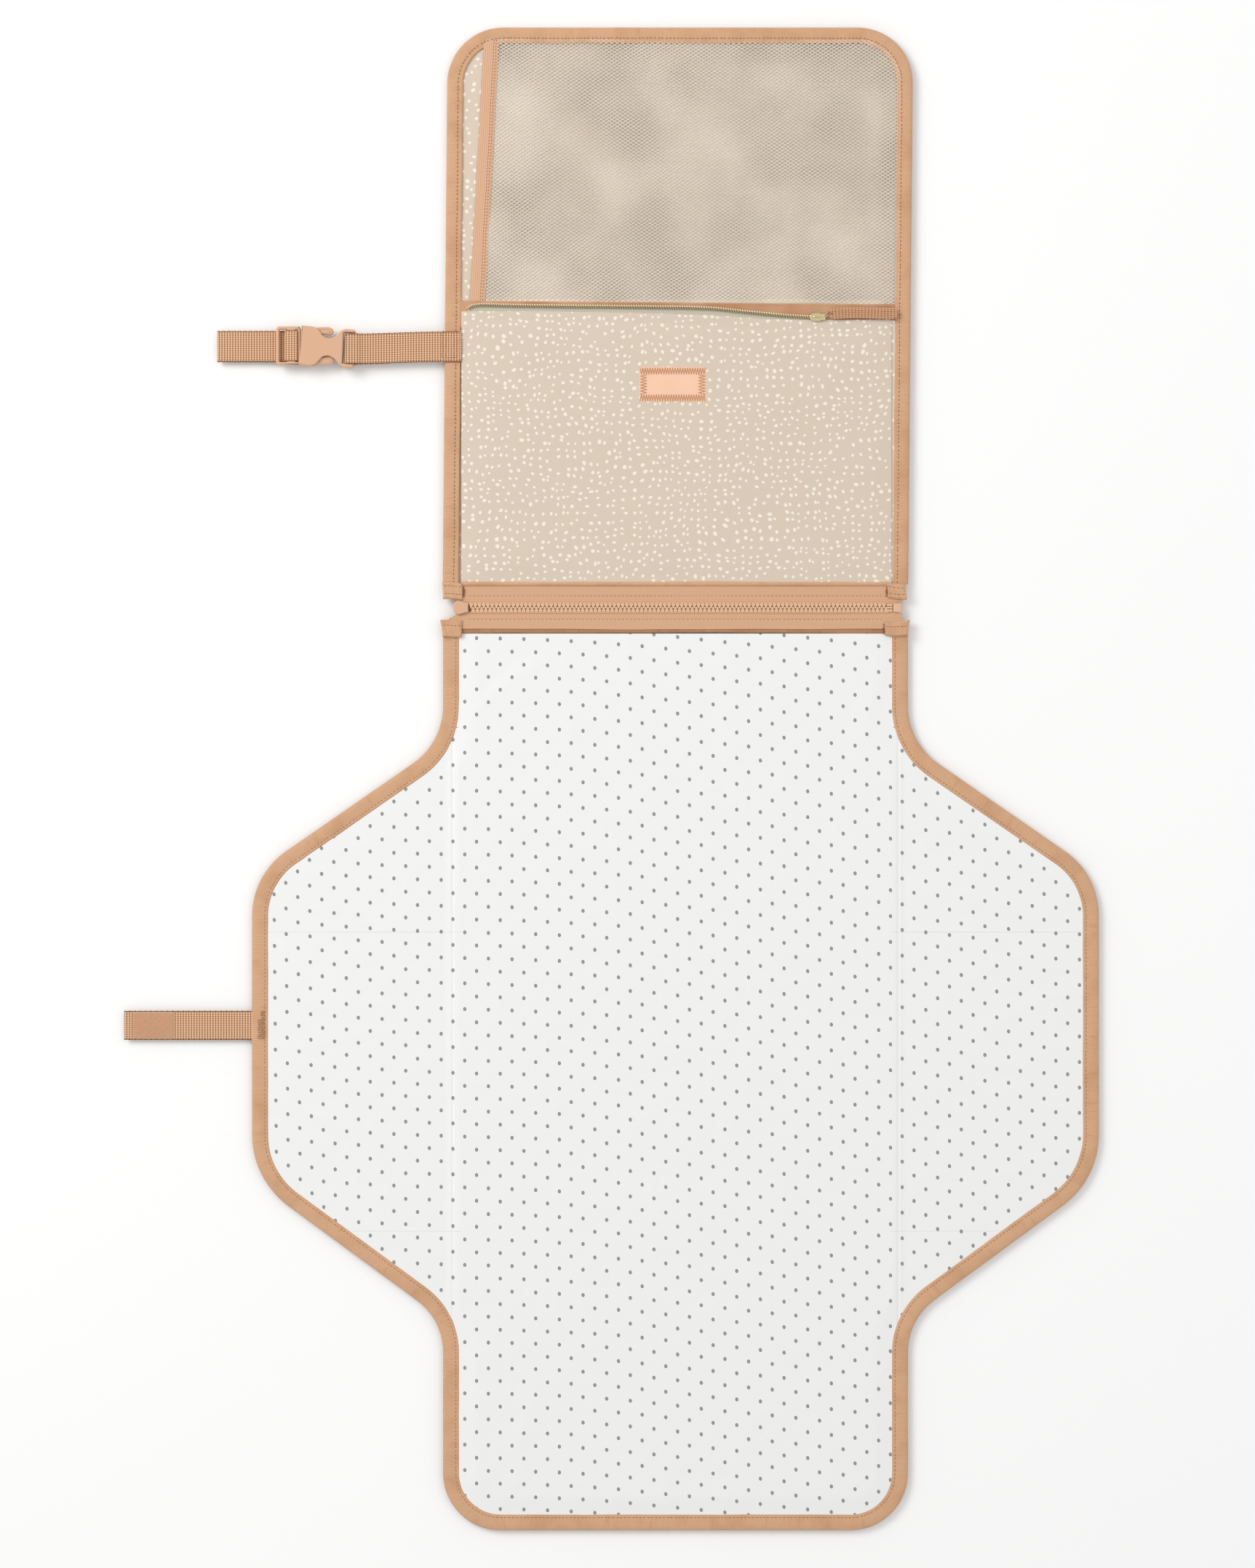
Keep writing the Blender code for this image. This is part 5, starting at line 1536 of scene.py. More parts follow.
def tape(name, y_in, y_out, sign, body, nodes, stitch_y, lip):
    """A zip tape from the teeth (y_in) outwards (y_out), its ends turned away under the end tabs."""
    b = Build()
    xs = np.r_[np.linspace(-146.5, -133.5, 12), np.linspace(-133, 133, 240), np.linspace(133.5, 146.5, 12)] * MM
    v = np.linspace(0, 1, 22)
    pull_l = step(xs, -137.0 * MM, -147.5 * MM)
    pull_r = step(xs, 138.0 * MM, 147.0 * MM)
    inner = y_in + sign * (4.6 * MM * pull_l + 1.4 * MM * pull_r)
    outer = y_out + sign * (0.35 * MM * wave(xs, 2 + sign, 90 * MM) + 1.1 * MM * step(np.abs(xs), 125 * MM, 60 * MM) * lip)
    X = np.repeat(xs[:, None], len(v), 1)
    Y = inner[:, None] + (outer - inner)[:, None] * v[None]
    T = TAPE_Z + 0.20 * MM * np.sin(v * math.pi)[None] ** 0.8 * np.ones_like(X) + cloth_wave(X, Y, 0.08 * MM, 7 + sign)
    d = np.abs(Y - stitch_y)
    T -= 0.20 * MM * np.exp(-(d / (0.6 * MM)) ** 2)
    e = np.abs(outer[:, None] - Y)
    T += 0.14 * MM * np.exp(-((e - 0.6 * MM) / (0.5 * MM)) ** 2)
    T -= 0.5 * MM * (pull_l + pull_r)[:, None]
    slab(b, np.dstack([X, Y, T]), np.dstack([X, Y, T - 0.55 * MM]))
    line = np.linspace(-134 * MM, 134 * MM, 200)
    thread_run(b, np.c_[line, np.full(200, stitch_y), np.full(200, TAPE_Z + 0.02 * MM)], np.array([0, 0, 1.0]), 1,
               pitch=2.6 * MM, length=1.7 * MM, r=0.17 * MM, jitter=0.3 * MM)
    # the thin inner edge of the tape, below the teeth: partly the tape's real edge, partly a sheet in the darker
    # thread colour standing in for the painted shade in the gap between the two rows
    xe = np.linspace(-133, 138, 200) * MM
    ye = np.array([ZIP_Y + sign * 0.25 * MM, y_in + sign * 1.0 * MM])
    Xe, Ye = np.meshgrid(xe, ye, indexing="ij")
    slab(b, np.dstack([Xe, Ye, np.full(Xe.shape, 2.05 * MM)]), np.dstack([Xe, Ye, np.full(Xe.shape, 1.85 * MM)]), 1, 1, 1)
    # the cord along the teeth's roots
    k = np.linspace(-133 * MM, 138 * MM, 400)
    cord = np.c_[k, np.full(400, y_in + sign * 0.9 * MM), np.full(400, TAPE_Z + 0.12 * MM)]
    wire(b, cord, 0.62 * MM, 8)
    o = b.obj(name, [M_TAPE, M_THREAD])
    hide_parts(*nodes)
    if body:
        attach(o, body)
    return o


UP_IN, UP_OUT = ZIP_Y + 2.4 * MM, BASE_LOW - 0.4 * MM
LOW_IN, LOW_OUT = ZIP_Y - 2.4 * MM, 292.6 * MM
tape("zip_upper_tape_cloth", UP_IN, UP_OUT, 1, "clutch_base", ["zip_upper_tape"], 314.0 * MM, 0)
tape("zip_lower_tape_cloth", LOW_IN, LOW_OUT, -1, "zip_lower", ["zip_lower_tape"], 299.0 * MM, 0)

# the pocket's tan lip over the upper tape and the pad's tan lip below the lower one
b = Build()
xs = np.linspace(-137.5, 138, 180) * MM
vv = np.linspace(0, 1, 8)
X = np.repeat(xs[:, None], 8, 1)
yt = BASE_LOW + 0.9 * MM + 0.35 * MM * wave(xs, 8.0, 60 * MM)
Y = (BASE_LOW - 1.6 * MM) + (yt - BASE_LOW + 1.6 * MM)[:, None] * vv[None]
T = 3.75 * MM + 0.65 * MM * np.sin(vv * math.pi)[None] * np.ones_like(X)
slab(b, np.dstack([X, Y, T]), np.dstack([X, Y, np.full(X.shape, 2.5 * MM)]))
o = b.obj("pocket_lower_lip", [M_BIND])
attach(o, "clutch_base")

b = Build()
xs = np.linspace(-141, 141, 190) * MM
X = np.repeat(xs[:, None], 8, 1)
yl = 290.3 * MM - 0.5 * MM * (xs / (141 * MM)) ** 2 + 0.25 * MM * wave(xs, 4.0, 50 * MM)
Y = yl[:, None] + (293.6 * MM - yl)[:, None] * vv[None]
T = 2.35 * MM + 0.45 * MM * np.sin(np.clip(vv * 1.3, 0, 1) * math.pi)[None] * np.ones_like(X)
slab(b, np.dstack([X, Y, T]), np.dstack([X, Y, np.full(X.shape, 1.2 * MM)]))
line = np.stack([xs, yl + 1.2 * MM], 1)
M_LIP = ribbed("grosgrain_shadow", srgb(182, 134, 98), srgb(150, 104, 70))
o = b.obj("pad_upper_lip", [M_LIP])
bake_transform(o)


def teeth(name, sign, body, node):
    """Moulded teeth: each has a rounded head, a narrow neck and a foot that grips the tape's cord."""
    b = Build()
    half = [(1.28, 3.0, 0.35), (1.27, 1.45, 0.3), (0.74, 0.80, 0.2), (0.62, 0.0, 0.2), (0.50, -0.70, 0.35)]
    x = -132.0 + (0 if sign > 0 else 1.36)
    while x < 136.2:
        pts = [(a, h, r) for a, h, r in half] + [(-a, h, r) for a, h, r in reversed(half)]
        loop = round_loop([((x + a) * MM, ZIP_Y + sign * h * MM, r * MM) for a, h, r in pts], steps=3)
        plate(b, [loop], 2.15 * MM, 3.95 * MM, 0.28 * MM, steps=2)
        x += 2.72
    o = b.obj(name, [M_TEETH])
    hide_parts(node)
    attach(o, body)


teeth("zip_upper_teeth_row", 1, "clutch_base", "zip_upper_teeth")
teeth("zip_lower_teeth_row", -1, "zip_lower", "zip_lower_teeth")

# slider of the main zip
b = Build()
SC = np.array([(lo("zip_slider")[0] + hi("zip_slider")[0]) / 2, ZIP_Y])
sl = [(-4.6, 2.1, 1.2), (-3.6, 3.6, 1.2), (-2.3, 4.35, 1.2), (-0.6, 4.3, 1.0), (2.9, 3.2, 1.0), (4.9, 2.9, 0.6)]
loop = round_loop([(SC[0] + x * MM, SC[1] + y * MM, r * MM) for x, y, r in sl] +
                  [(SC[0] + x * MM, SC[1] - y * MM * 1.0, r * MM) for x, y, r in reversed(sl)], steps=6)
plate(b, [loop], 4.0 * MM, 5.3 * MM, 0.55 * MM, steps=6)
plate(b, [loop], 0.75 * MM, 1.65 * MM, 0.35 * MM)
post = round_loop([(SC[0] - 4.4 * MM, SC[1] - 0.7 * MM, 0.3 * MM), (SC[0] - 3.5 * MM, SC[1] - 0.35 * MM, 0.2 * MM),
                   (SC[0] - 3.5 * MM, SC[1] + 0.35 * MM, 0.2 * MM), (SC[0] - 4.4 * MM, SC[1] + 0.7 * MM, 0.3 * MM)])
plate(b, [post], 1.5 * MM, 4.3 * MM, 0.1 * MM)
for s in (1, -1):
    rail = round_loop([(SC[0] - 1.0 * MM, SC[1] + s * 3.9 * MM, 0.2 * MM), (SC[0] + 4.6 * MM, SC[1] + s * 2.7 * MM, 0.2 * MM),
                       (SC[0] + 4.6 * MM, SC[1] + s * 2.15 * MM, 0.2 * MM), (SC[0] - 1.0 * MM, SC[1] + s * 3.3 * MM, 0.2 * MM)])
    plate(b, [rail], 3.99 * MM, 4.3 * MM, 0.08 * MM)
o = b.obj("zip_slider_body", [M_MOULD])
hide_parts("zip_slider")
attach(o, "zip_slider")
KLO, KHI = lo("zip_slider_pull"), hi("zip_slider_pull")
b = Build()
ky = (KLO[1] + KHI[1]) / 2
kw = (KHI[1] - KLO[1]) / 2
loop = round_loop([(KLO[0], ky - kw * 0.8, 1 * MM), (KHI[0], ky - kw, 2.2 * MM), (KHI[0], ky + kw, 2.2 * MM), (KLO[0], ky + kw * 0.8, 1 * MM)], 8)
hole = round_loop([(KHI[0] - 6.5 * MM, ky - kw * 0.5, 1 * MM), (KHI[0] - 2.2 * MM, ky - kw * 0.5, 1 * MM),
                   (KHI[0] - 2.2 * MM, ky + kw * 0.5, 1 * MM), (KHI[0] - 6.5 * MM, ky + kw * 0.5, 1 * MM)], 6)
plate(b, [loop, hole], 0.15 * MM, 0.85 * MM, 0.2 * MM)
o = b.obj("zip_pull_tab", [M_MOULD])
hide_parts("zip_slider_pull")
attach(o, "zip_pull")

# retaining box, and the small stops before it
b = Build()
BLO, BHI = lo("zip_box"), hi("zip_box")
loop = round_loop([(BLO[0], BLO[1], 0.5 * MM), (BHI[0], BLO[1], 0.7 * MM), (BHI[0], BHI[1], 0.7 * MM), (BLO[0], BHI[1], 0.5 * MM)], 6)
plate(b, [loop], 1.9 * MM, 4.35 * MM, 0.4 * MM)
for y0, y1 in ((1.05, 2.7), (-0.6, 0.7), (-2.7, -1.0)):
    loop = round_loop([((136.2) * MM, ZIP_Y + y0 * MM, 0.3 * MM), (140.1 * MM, ZIP_Y + y0 * MM, 0.3 * MM),
                       (140.1 * MM, ZIP_Y + y1 * MM, 0.3 * MM), (136.2 * MM, ZIP_Y + y1 * MM, 0.3 * MM)], 4)
    plate(b, [loop], 2.3 * MM, 4.0 * MM, 0.25 * MM)
o = b.obj("zip_box_moulded", [M_TEETH])
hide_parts("zip_box")
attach(o, "clutch_base")


def tab(name, corners, stitches, seed, body=None, nodes=()):
    """A short piece of tape wrapped over the end of the zip. corners run low-left, low-right, top-right, top-left."""
    b = Build()
    nu, nv = 34, 34
    g = quad_grid(np.array(corners) * MM, nu, nv)
    u = np.linspace(0, 1, nu)[None, :] * np.ones((nv, 1))
    v = np.linspace(0, 1, nv)[:, None] * np.ones((1, nu))
    X, Y = g[..., 0], g[..., 1]
    X = X + 0.35 * MM * np.sin(v * 3 + seed) * np.sin(u * math.pi * 0.5 + 0.6)
    Y = Y + 0.30 * MM * np.sin(u * 4 + seed)
    edge = np.minimum.reduce([u, 1 - u, v, 1 - v])
    rnd = 1 - (1 - np.clip(edge / 0.09, 0, 1)) ** 2
    T = 3.5 * MM + 1.5 * MM * rnd + 0.30 * MM * np.sin(u * 5 + seed) * np.sin(v * 6 + 1) + 0.16 * MM * np.sin(u * 13 + v * 4 + seed)
    for vs in stitches:
        T -= 0.30 * MM * np.exp(-((v - vs) / 0.045) ** 2)
    B = 1.2 * MM - 0.7 * MM * rnd
    rest = np.dstack([X, Y, T])
    slab(b, np.dstack([X, Y, T]), np.dstack([X, Y, B]), rest=rest)
    for vs in stitches:
        k = int(round(vs * (nv - 1)))
        p = np.c_[X[k, 2:-2], Y[k, 2:-2], T[k, 2:-2]]
        thread_run(b, p, np.array([0, 0, 1.0]), 1, pitch=2.3 * MM, length=1.6 * MM, r=0.17 * MM)
    inner = -2 if np.mean(np.array(corners)[:, 0]) < 0 else 1
    away = 1 if inner == -2 else -1
    for k in range(9):
        v0 = 2 + int(rng.random() * 12)
        x0 = X[v0, inner] + away * rng.uniform(-0.6, 1.5) * MM
        y = np.linspace(Y[v0, inner], Y[min(nv - 2, v0 + 15), inner], 14)
        p = np.c_[np.full(14, x0) + 0.25 * MM * np.sin(np.arange(14) * 1.7 + k), y, np.full(14, 3.75 * MM)]
        thread_run(b, p, np.array([0, 0, 1.0]), 1, pitch=1.5 * MM, length=1.2 * MM, r=0.20 * MM, jitter=0.5 * MM)
    o = b.obj(name, [M_TAB, M_THREAD_DARK])
    if nodes:
        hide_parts(*nodes)
    if body:
        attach(o, body)
    else:
        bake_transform(o)
    return o


tab("tab_upper_left", [(-150.3, 311.9), (-137.6, 311.4), (-137.4, 322.6), (-150.7, 322.7)], (0.30, 0.76), 0.4,
    "clutch_base", ["zip_end_tab_left"])
tab("tab_upper_right", [(137.0, 312.4), (149.2, 311.7), (148.8, 321.6), (136.2, 322.9)], (0.30, 0.72), 2.1,
    "clutch_base", ["zip_end_tab_right"])
tab("tab_lower_left", [(-150.6, 287.3), (-138.6, 287.6), (-137.2, 298.6), (-151.8, 298.3)], (0.66,), 1.2)
tab("tab_lower_right", [(135.4, 288.4), (150.3, 288.2), (151.4, 298.2), (134.8, 297.6)], (0.62,), 3.0)

# ------------------------------------------------------------------ strap and buckle
BUCKLE_Z = (lo("buckle_female")[2] + hi("buckle_female")[2]) / 2


def drift(x):
    """The strap isn't perfectly straight: it rises a little towards the clutch."""
    return -1.75 * MM + 1.55 * MM * step(x, -214 * MM, -146 * MM)


strap_mid = np.array([(-138.6, 4.0), (-157, 4.05), (-170, 3.95), (-186, 3.95), (-202, 4.2), (-206.2, 5.9), (-210.9, 6.2), (-213.1, 5.2),
                      (-213.1, 2.7), (-210.8, 1.6), (-206.6, 1.8), (-202.5, 2.75), (-186, 2.75), (-184.0, 2.75)]) * MM
b = Build()
strip(b, strap_mid, STRAP_Y - 0.2 * MM, 9.8 * MM, 1.15 * MM, yshift=drift, amp=0.32 * MM)
# fringe of the sewn end
for k in range(26):
    y = STRAP_Y + 0.8 * MM + (-9.0 + 18.0 * k / 25) * MM
    p = np.array([(-139.6 * MM, y, 4.35 * MM), (-138.6 * MM, y + rng.uniform(-0.3, 0.3) * MM, 4.2 * MM), (-137.7 * MM - rng.uniform(0, 0.5) * MM, y + rng.uniform(-0.4, 0.4) * MM, 3.95 * MM)])
    wire(b, p, 0.17 * MM, 5, mat=1)
o = b.obj("strap_webbing_woven", [M_WEB, M_THREAD_CREAM])
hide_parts("strap_webbing", "strap_sewn_end")
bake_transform(o)

# stitches that hold the strap's sewn end: a tall box of close rows
b = Build()
for x in (-150.6, -148.2, -142.9, -141.0):
    y = np.linspace(-8.4, 8.9, 60) * MM + STRAP_Y + 0.6 * MM
    p = np.c_[np.full(60, x * MM) + 0.2 * MM * np.sin(y / MM), y, np.full(60, 4.62 * MM)]
    thread_run(b, p, np.array([0, 0, 1.0]), 0, pitch=1.7 * MM, length=1.35 * MM, r=0.20 * MM)
for yy in (-8.2, 8.8):
    x = np.linspace(-150.6, -141, 40) * MM
    p = np.c_[x, np.full(40, STRAP_Y + 0.6 * MM + yy * MM), np.full(40, 4.60 * MM)]
    thread_run(b, p, np.array([0, 0, 1.0]), 0, pitch=1.7 * MM, length=1.35 * MM, r=0.20 * MM)
o = b.obj("strap_end_stitches", [M_THREAD])
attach(o, "clutch_base")

# female half
half = [(-207.4, 10.6, 0.6), (-207.6, 12.2, 1.4), (-213.6, 12.3, 1.8), (-216.6, 10.6, 3.0), (-219.5, 7.4, 4.0),
        (-223.5, 5.4, 6.0), (-227.4, 6.4, 4.0), (-230.3, 10.2, 4.0), (-232.6, 12.3, 3.0), (-236.5, 12.8, 6.0), (-242.0, 12.9, 0.5)]
outer = round_loop([(x * MM, STRAP_Y + y * MM, r * MM) for x, y, r in half] +
                   [(x * MM, STRAP_Y - y * MM, r * MM) for x, y, r in reversed(half)], steps=8)
slot_loop = round_loop([(-216.0 * MM, STRAP_Y - 10.2 * MM, 0.8 * MM), (-207.0 * MM + 2 * MM, STRAP_Y - 10.2 * MM, 0.2 * MM),
                        (-207.0 * MM + 2 * MM, STRAP_Y + 10.2 * MM, 0.2 * MM), (-216.0 * MM, STRAP_Y + 10.2 * MM, 0.8 * MM)], 6)
b = Build()
zt, zb = BUCKLE_Z + 3.5 * MM, BUCKLE_Z - 3.5 * MM
wall = 1.55 * MM
# roof and floor of the mouth, then the two ears and the bar
mouth = [p for p in half if p[0] < -216.0]
roof = round_loop([(x * MM, STRAP_Y + y * MM, r * MM) for x, y, r in [(-214.5, 9.9, 0.5)] + mouth] +
                  [(x * MM, STRAP_Y - y * MM, r * MM) for x, y, r in mouth[::-1] + [(-214.5, 9.9, 0.5)]], steps=8)
plate(b, [roof], zt - wall, zt, 0.75 * MM, steps=6)
plate(b, [roof], zb, zb + wall, 0.75 * MM, steps=6)
# side walls near the mouth and the solid waist
waist = round_loop([(-216.2 * MM, STRAP_Y - 9.8 * MM, 1 * MM), (-216.2 * MM, STRAP_Y + 9.8 * MM, 1 * MM), (-218.8 * MM, STRAP_Y + 7.4 * MM, 1 * MM),
                    (-219.4 * MM, STRAP_Y + 5.6 * MM, 1 * MM), (-219.4 * MM, STRAP_Y - 5.6 * MM, 1 * MM), (-218.8 * MM, STRAP_Y - 7.4 * MM, 1 * MM)], 5)
plate(b, [waist], zb + 0.5 * MM, zt - 0.5 * MM, 0.2 * MM)
for s in (1, -1):
    wall_loop = round_loop([(-241.8 * MM, STRAP_Y + s * 12.15 * MM, 0.1 * MM), (-241.8 * MM, STRAP_Y + s * 12.85 * MM, 0.3 * MM),
                            (-236.5 * MM, STRAP_Y + s * 12.75 * MM, 2 * MM), (-233.6 * MM, STRAP_Y + s * 12.4 * MM, 0.3 * MM),
                            (-234.0 * MM, STRAP_Y + s * 12.0 * MM, 0.2 * MM)], 4)
    plate(b, [wall_loop], zb + 0.4 * MM, zt - 0.4 * MM, 0.1 * MM)
    ear = round_loop([(-217.2 * MM, STRAP_Y + s * 9.2 * MM, 1 * MM), (-216.6 * MM, STRAP_Y + s * 10.9 * MM, 2 * MM), (-213.6 * MM, STRAP_Y + s * 12.4 * MM, 2 * MM),
                      (-208.0 * MM, STRAP_Y + s * 12.2 * MM, 1.6 * MM), (-206.8 * MM, STRAP_Y + s * 11.0 * MM, 0.7 * MM), (-207.8 * MM, STRAP_Y + s * 10.3 * MM, 0.7 * MM),
                      (-213.0 * MM, STRAP_Y + s * 10.25 * MM, 0.8 * MM), (-216.0 * MM, STRAP_Y + s * 9.6 * MM, 0.8 * MM)], 6)
    plate(b, [ear], zb, zt, 0.8 * MM, steps=5)
ang = np.linspace(0, TAU, 20, endpoint=False)
bar = []
for y in np.linspace(-10.6, 10.6, 12) * MM:
    bar.append(np.c_[-209.0 * MM + 2.0 * MM * np.cos(ang), np.full(20, STRAP_Y + y), BUCKLE_Z + 1.15 * MM * np.sin(ang)])
tube(b, np.array(bar))
TILT = math.radians(-3.4)
PIV = np.array([-240.0 * MM, STRAP_Y])
for v in b.v:
    q = v[:, :2] - PIV
    v[:, 0] = PIV[0] + q[:, 0] * math.cos(TILT) - q[:, 1] * math.sin(TILT)
    v[:, 1] = PIV[1] + q[:, 0] * math.sin(TILT) + q[:, 1] * math.cos(TILT)
o = b.obj("buckle_female_shell", [M_MOULD])
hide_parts("buckle_female")
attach(o, "strap")

# male half: frame with its window and bar, the stem, two sprung prongs
mz = BUCKLE_Z
b = Build()
hw = 12.55
frame_out = round_loop([(-242.4 * MM, STRAP_Y - hw * MM, 0.3 * MM), (-242.4 * MM, STRAP_Y + hw * MM, 0.3 * MM),
                        (-256.6 * MM, STRAP_Y + hw * MM, 1.8 * MM), (-257.9 * MM, STRAP_Y + 10.6 * MM, 2.0 * MM),
                        (-257.9 * MM, STRAP_Y - 10.6 * MM, 2.0 * MM), (-256.6 * MM, STRAP_Y - hw * MM, 1.8 * MM)], 8)
h1 = round_loop([(-255.8 * MM, STRAP_Y - 10.5 * MM, 0.8 * MM), (-250.7 * MM, STRAP_Y - 10.5 * MM, 0.5 * MM),
                 (-250.7 * MM, STRAP_Y + 10.5 * MM, 0.5 * MM), (-255.8 * MM, STRAP_Y + 10.5 * MM, 0.8 * MM)], 6)
h2 = round_loop([(-245.3 * MM, STRAP_Y - 10.5 * MM, 0.5 * MM), (-243.3 * MM, STRAP_Y - 10.5 * MM, 0.5 * MM),
                 (-243.3 * MM, STRAP_Y + 10.5 * MM, 0.5 * MM), (-245.3 * MM, STRAP_Y + 10.5 * MM, 0.5 * MM)], 6)
plate(b, [frame_out, h1, h2], mz - 1.6 * MM, mz + 2.2 * MM, 0.8 * MM, steps=6)
stem = round_loop([(-242.6 * MM, STRAP_Y - 11.2 * MM, 0.3 * MM), (-242.6 * MM, STRAP_Y + 11.2 * MM, 0.3 * MM), (-239.2 * MM, STRAP_Y + 11.2 * MM, 0.6 * MM),
                   (-239.2 * MM, STRAP_Y + 1.4 * MM, 0.6 * MM), (-223.2 * MM, STRAP_Y + 1.2 * MM, 1.0 * MM), (-223.2 * MM, STRAP_Y - 1.2 * MM, 1.0 * MM),
                   (-239.2 * MM, STRAP_Y - 1.4 * MM, 0.6 * MM), (-239.2 * MM, STRAP_Y - 11.2 * MM, 0.6 * MM)], 5)
plate(b, [stem], mz - 1.45 * MM, mz + 1.45 * MM, 0.4 * MM)
o = b.obj("buckle_male_frame", [M_MOULD])
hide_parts("buckle_male")
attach(o, "buckle_plug")
for hand, s in (("top", 1), ("bottom", -1)):
    b = Build()
    arm = [(-238.6, 9.9, 0.5), (-238.6, 8.5, 0.5), (-233.5, 7.6, 3.0), (-222.6, 7.1, 1.0), (-220.5, 9.0, 1.4),
           (-221.2, 11.2, 1.6), (-224.0, 12.2, 3.0), (-230.5, 12.0, 3.0), (-233.6, 10.9, 2.0), (-236.4, 10.3, 1.0)]
    loop = round_loop([(x * MM, STRAP_Y + s * y * MM, r * MM) for x, y, r in arm], 8)
    plate(b, [loop], mz - 1.55 * MM, mz + 1.55 * MM, 0.55 * MM, steps=5)
    # raised rim round the thumb dimple
    rim = [(-226.8 + 4.6 * math.cos(t), 9.6 + 1.7 * math.sin(t)) for t in np.linspace(0, TAU, 28, endpoint=False)]
    rim_in = [(-226.8 + 3.7 * math.cos(t), 9.6 + 1.0 * math.sin(t)) for t in np.linspace(0, TAU, 28, endpoint=False)]
    plate(b, [np.array([(x * MM, STRAP_Y + s * y * MM) for x, y in rim]), np.array([(x * MM, STRAP_Y + s * y * MM) for x, y in rim_in])],
          mz + 1.3 * MM, mz + 1.85 * MM, 0.18 * MM, steps=3)
    o = b.obj("buckle_prong_%s_arm" % hand, [M_MOULD])
    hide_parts("buckle_prong_" + hand)
    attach(o, "prong_" + hand)

loop_mid = np.array([(-296.2, 1.1), (-295.8, 1.65), (-294.5, 1.72), (-262, 1.72), (-253.6, 1.85), (-251.7, 2.6), (-251.7, 5.6), (-250.6, 6.15), (-245.2, 6.15),
                     (-243.95, 5.5), (-243.95, 1.4), (-244.6, 0.62), (-294.5, 0.55), (-295.8, 0.6)]) * MM
b = Build()
strip(b, loop_mid, STRAP_Y, 10.05 * MM, 0.92 * MM, closed=True, amp=0.26 * MM)
o = b.obj("loop_webbing_woven", [M_WEB])
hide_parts("loop_webbing")
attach(o, "buckle_plug")

# ------------------------------------------------------------------ hook strap on the left wing
b = Build()
strip(b, np.array([(-268.5, 0.72), (-275, 0.72), (-300, 0.80), (-330, 0.78), (-356.4, 0.72)]) * MM, HOOK_Y, 9.4 * MM, 0.95 * MM, amp=0.22 * MM)
o = b.obj("hook_strap_woven", [M_WEB])
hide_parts("hook_strap_webbing")
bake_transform(o)
HL, HH = lo("hook_strap_hook_patch"), hi("hook_strap_hook_patch")
M_HOOK = plain("hook_tape_tan", srgb(206, 160, 126), 0.7, 1500, 0.00006)
b = Build()
heightfield(b, np.linspace(HL[0], HH[0], 60), np.linspace(HL[1], HH[1], 40),
            lambda X, Y: 1.62 * MM + 0.10 * MM * np.sin(X / (0.7 * MM)) * np.sin(Y / (0.7 * MM)), 1.2 * MM)
k = 0
r = 0.11 * MM
for x in np.arange(HL[0] + 1.2 * MM, HH[0] - 1.0 * MM, 1.15 * MM):
    for y in np.arange(HL[1] + 1.0 * MM, HH[1] - 0.8 * MM, 1.15 * MM):
        j = rng.uniform(-0.15, 0.15, 2) * MM
        lean = 0.30 * MM
        p = np.array([(0, 0, 1.55), (0.05, 0, 2.0), (0.25, 0, 2.25), (0.5, 0, 2.15), (0.55, 0, 1.95)]) * MM
        p = p + [x + j[0], y + j[1], 0]
        wire(b, p, r, 4, ref=np.array([0, 1.0, 0]))
for yy in (HL[1] + 0.6 * MM, HH[1] - 0.6 * MM):
    x = np.linspace(HL[0] + 0.6 * MM, HH[0] - 0.6 * MM, 60)
    thread_run(b, np.c_[x, np.full(60, yy), np.full(60, 1.75 * MM)], np.array([0, 0, 1.0]), 1, pitch=1.9 * MM, length=1.4 * MM, r=0.15 * MM)
for xx in (HL[0] + 0.6 * MM, HH[0] - 0.6 * MM):
    y = np.linspace(HL[1] + 0.6 * MM, HH[1] - 0.6 * MM, 60)
    thread_run(b, np.c_[np.full(60, xx), y, np.full(60, 1.75 * MM)], np.array([0, 0, 1.0]), 1, pitch=1.9 * MM, length=1.4 * MM, r=0.15 * MM)
o = b.obj("hook_patch_loops", [M_HOOK, M_THREAD_CREAM])
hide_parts("hook_strap_hook_patch")
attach(o, "hook_strap")

# close stitches on the wing binding where the hook strap is sewn in
b = Build()
for k in range(5):
    x = WING_HALF * -1 + (4.4 + 0.95 * k) * MM
    y = np.linspace(HOOK_Y - 9.0 * MM, HOOK_Y + (9.6 if k > 1 else 4.0) * MM, 70)
    p = np.c_[np.full(70, x) + 0.35 * MM * np.sin(y / (0.8 * MM)), y, np.full(70, BIND_T + 0.28 * MM)]
    thread_run(b, p, np.array([0, 0, 1.0]), 0, pitch=1.25 * MM, length=1.0 * MM, r=0.19 * MM, jitter=0.4 * MM)
o = b.obj("hook_strap_stitches", [plain("bartack_olive", srgb(140, 100, 52), 0.8, 1500, 0.00004)])
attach(o, "left_wing_middle")

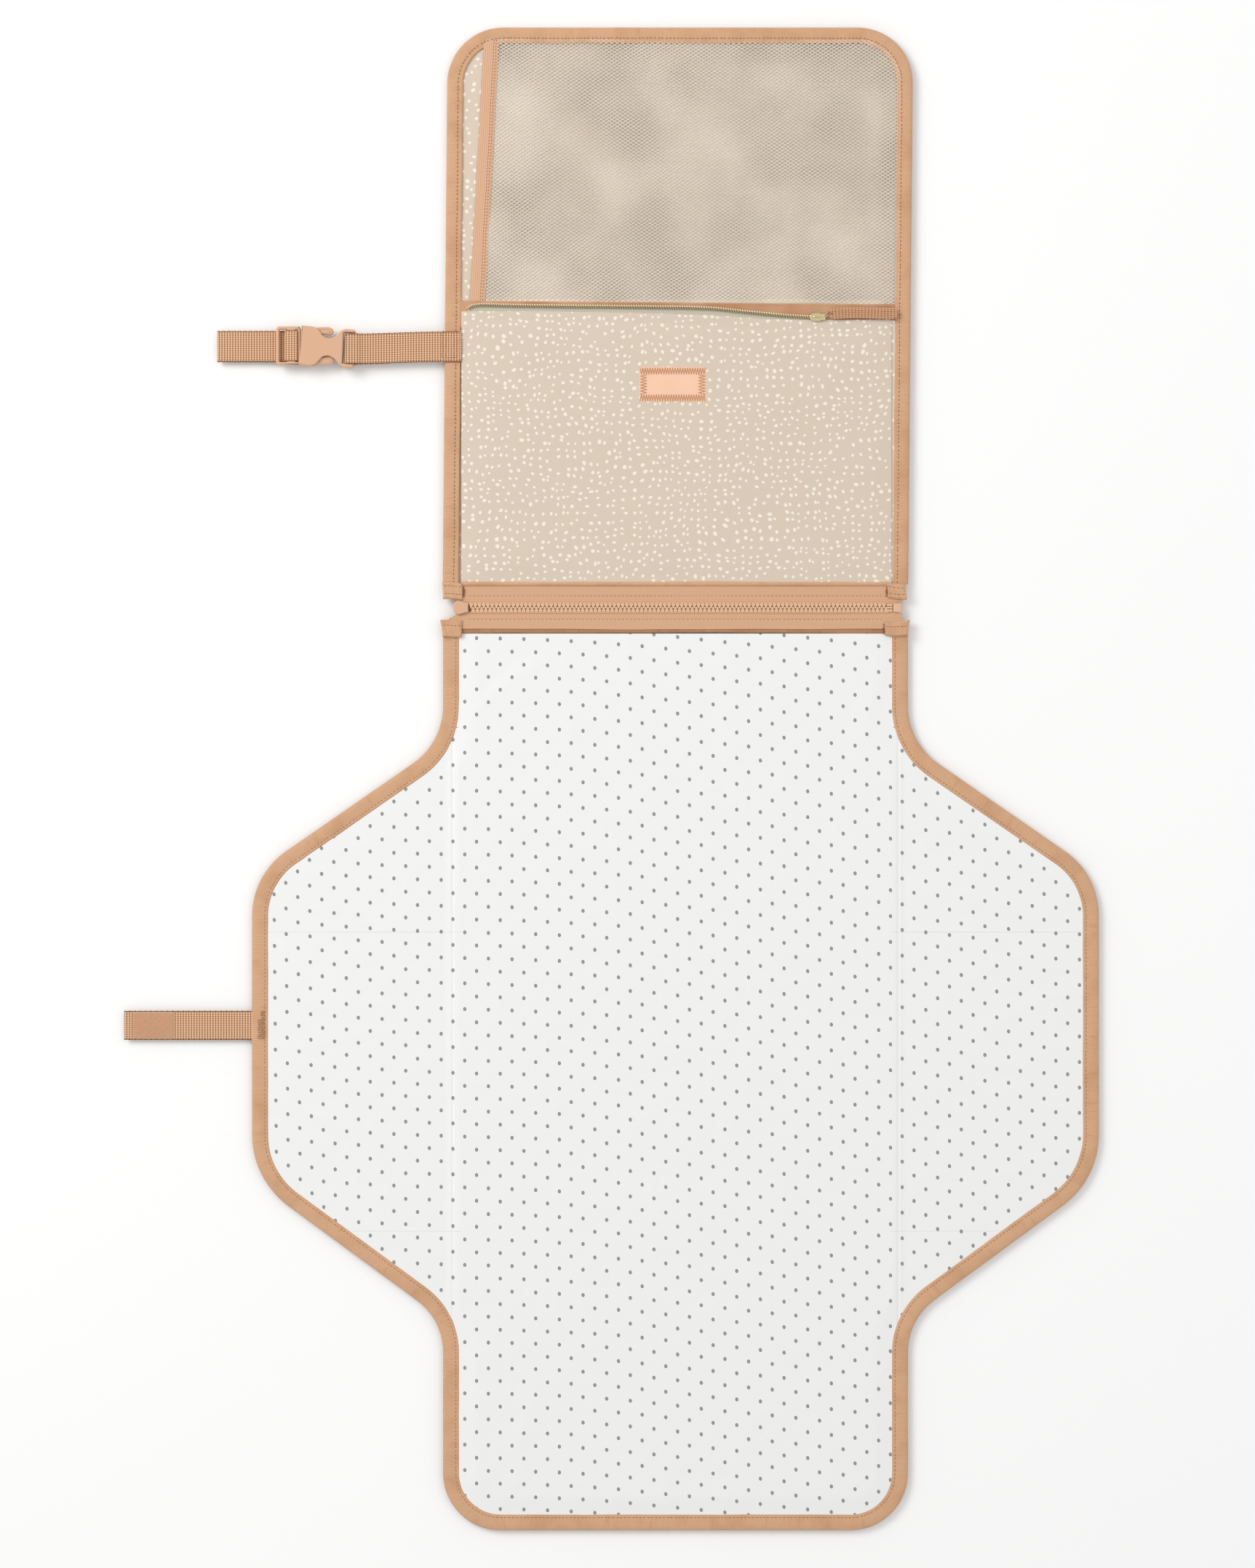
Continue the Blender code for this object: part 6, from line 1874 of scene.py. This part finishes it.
# ------------------------------------------------------------------ stage, light, camera
FRAME_W = 0.811
CAM_X, CAM_Y = -0.0310, 0.1925
floor_mesh = bpy.data.meshes.new("floor")
s = 6.0
floor_mesh.from_pydata([(-s, -s, -0.003), (s, -s, -0.003), (s, s, -0.003), (-s, s, -0.003)], [], [(0, 1, 2, 3)])
floor = bpy.data.objects.new("floor", floor_mesh)
bpy.context.scene.collection.objects.link(floor)
fm = bpy.data.materials.new("studio_floor")
fm.use_nodes = True
fb = fm.node_tree.nodes["Principled BSDF"]
fb.inputs["Base Color"].default_value = (0.93, 0.93, 0.93, 1)
fb.inputs["Roughness"].default_value = 0.9
fb.inputs["Specular IOR Level"].default_value = 0.1
floor_mesh.materials.append(fm)

world = bpy.data.worlds.new("studio")
bpy.context.scene.world = world
world.use_nodes = True
world.node_tree.nodes["Background"].inputs["Color"].default_value = (1.0, 1.0, 1.0, 1)
world.node_tree.nodes["Background"].inputs["Strength"].default_value = 0.72


def area(name, loc, target, size, power, color=(1, 1, 1)):
    d = bpy.data.lights.new(name, "AREA")
    d.shape = "RECTANGLE"
    d.size, d.size_y = size
    d.energy = power
    d.color = color
    o = bpy.data.objects.new(name, d)
    bpy.context.scene.collection.objects.link(o)
    o.location = loc
    o.rotation_euler = (Vector(target) - Vector(loc)).to_track_quat("-Z", "Y").to_euler()
    return o


area("key", (-1.9, 1.5, 2.0), (0, 0.15, 0), (1.6, 1.2), 42.0, (1.0, 0.99, 0.97))
area("fill", (1.6, 0.6, 2.4), (0, 0.1, 0), (2.2, 2.2), 9.0, (0.96, 0.98, 1.0))

cam = bpy.data.cameras.new("camera")
cam.lens = 85.0
cam.sensor_width = 36.0
cam.sensor_fit = "AUTO"
cam_obj = bpy.data.objects.new("camera", cam)
bpy.context.scene.collection.objects.link(cam_obj)
FRAME_H = FRAME_W * 2156 / 1725
cam_obj.location = (CAM_X, CAM_Y, FRAME_H * cam.lens / cam.sensor_width + 0.002)
cam_obj.rotation_euler = (0, 0, 0)
bpy.context.scene.camera = cam_obj
bpy.context.scene.view_settings.view_transform = "Standard"
bpy.context.scene.view_settings.look = "None"
bpy.context.scene.view_settings.exposure = 0.0
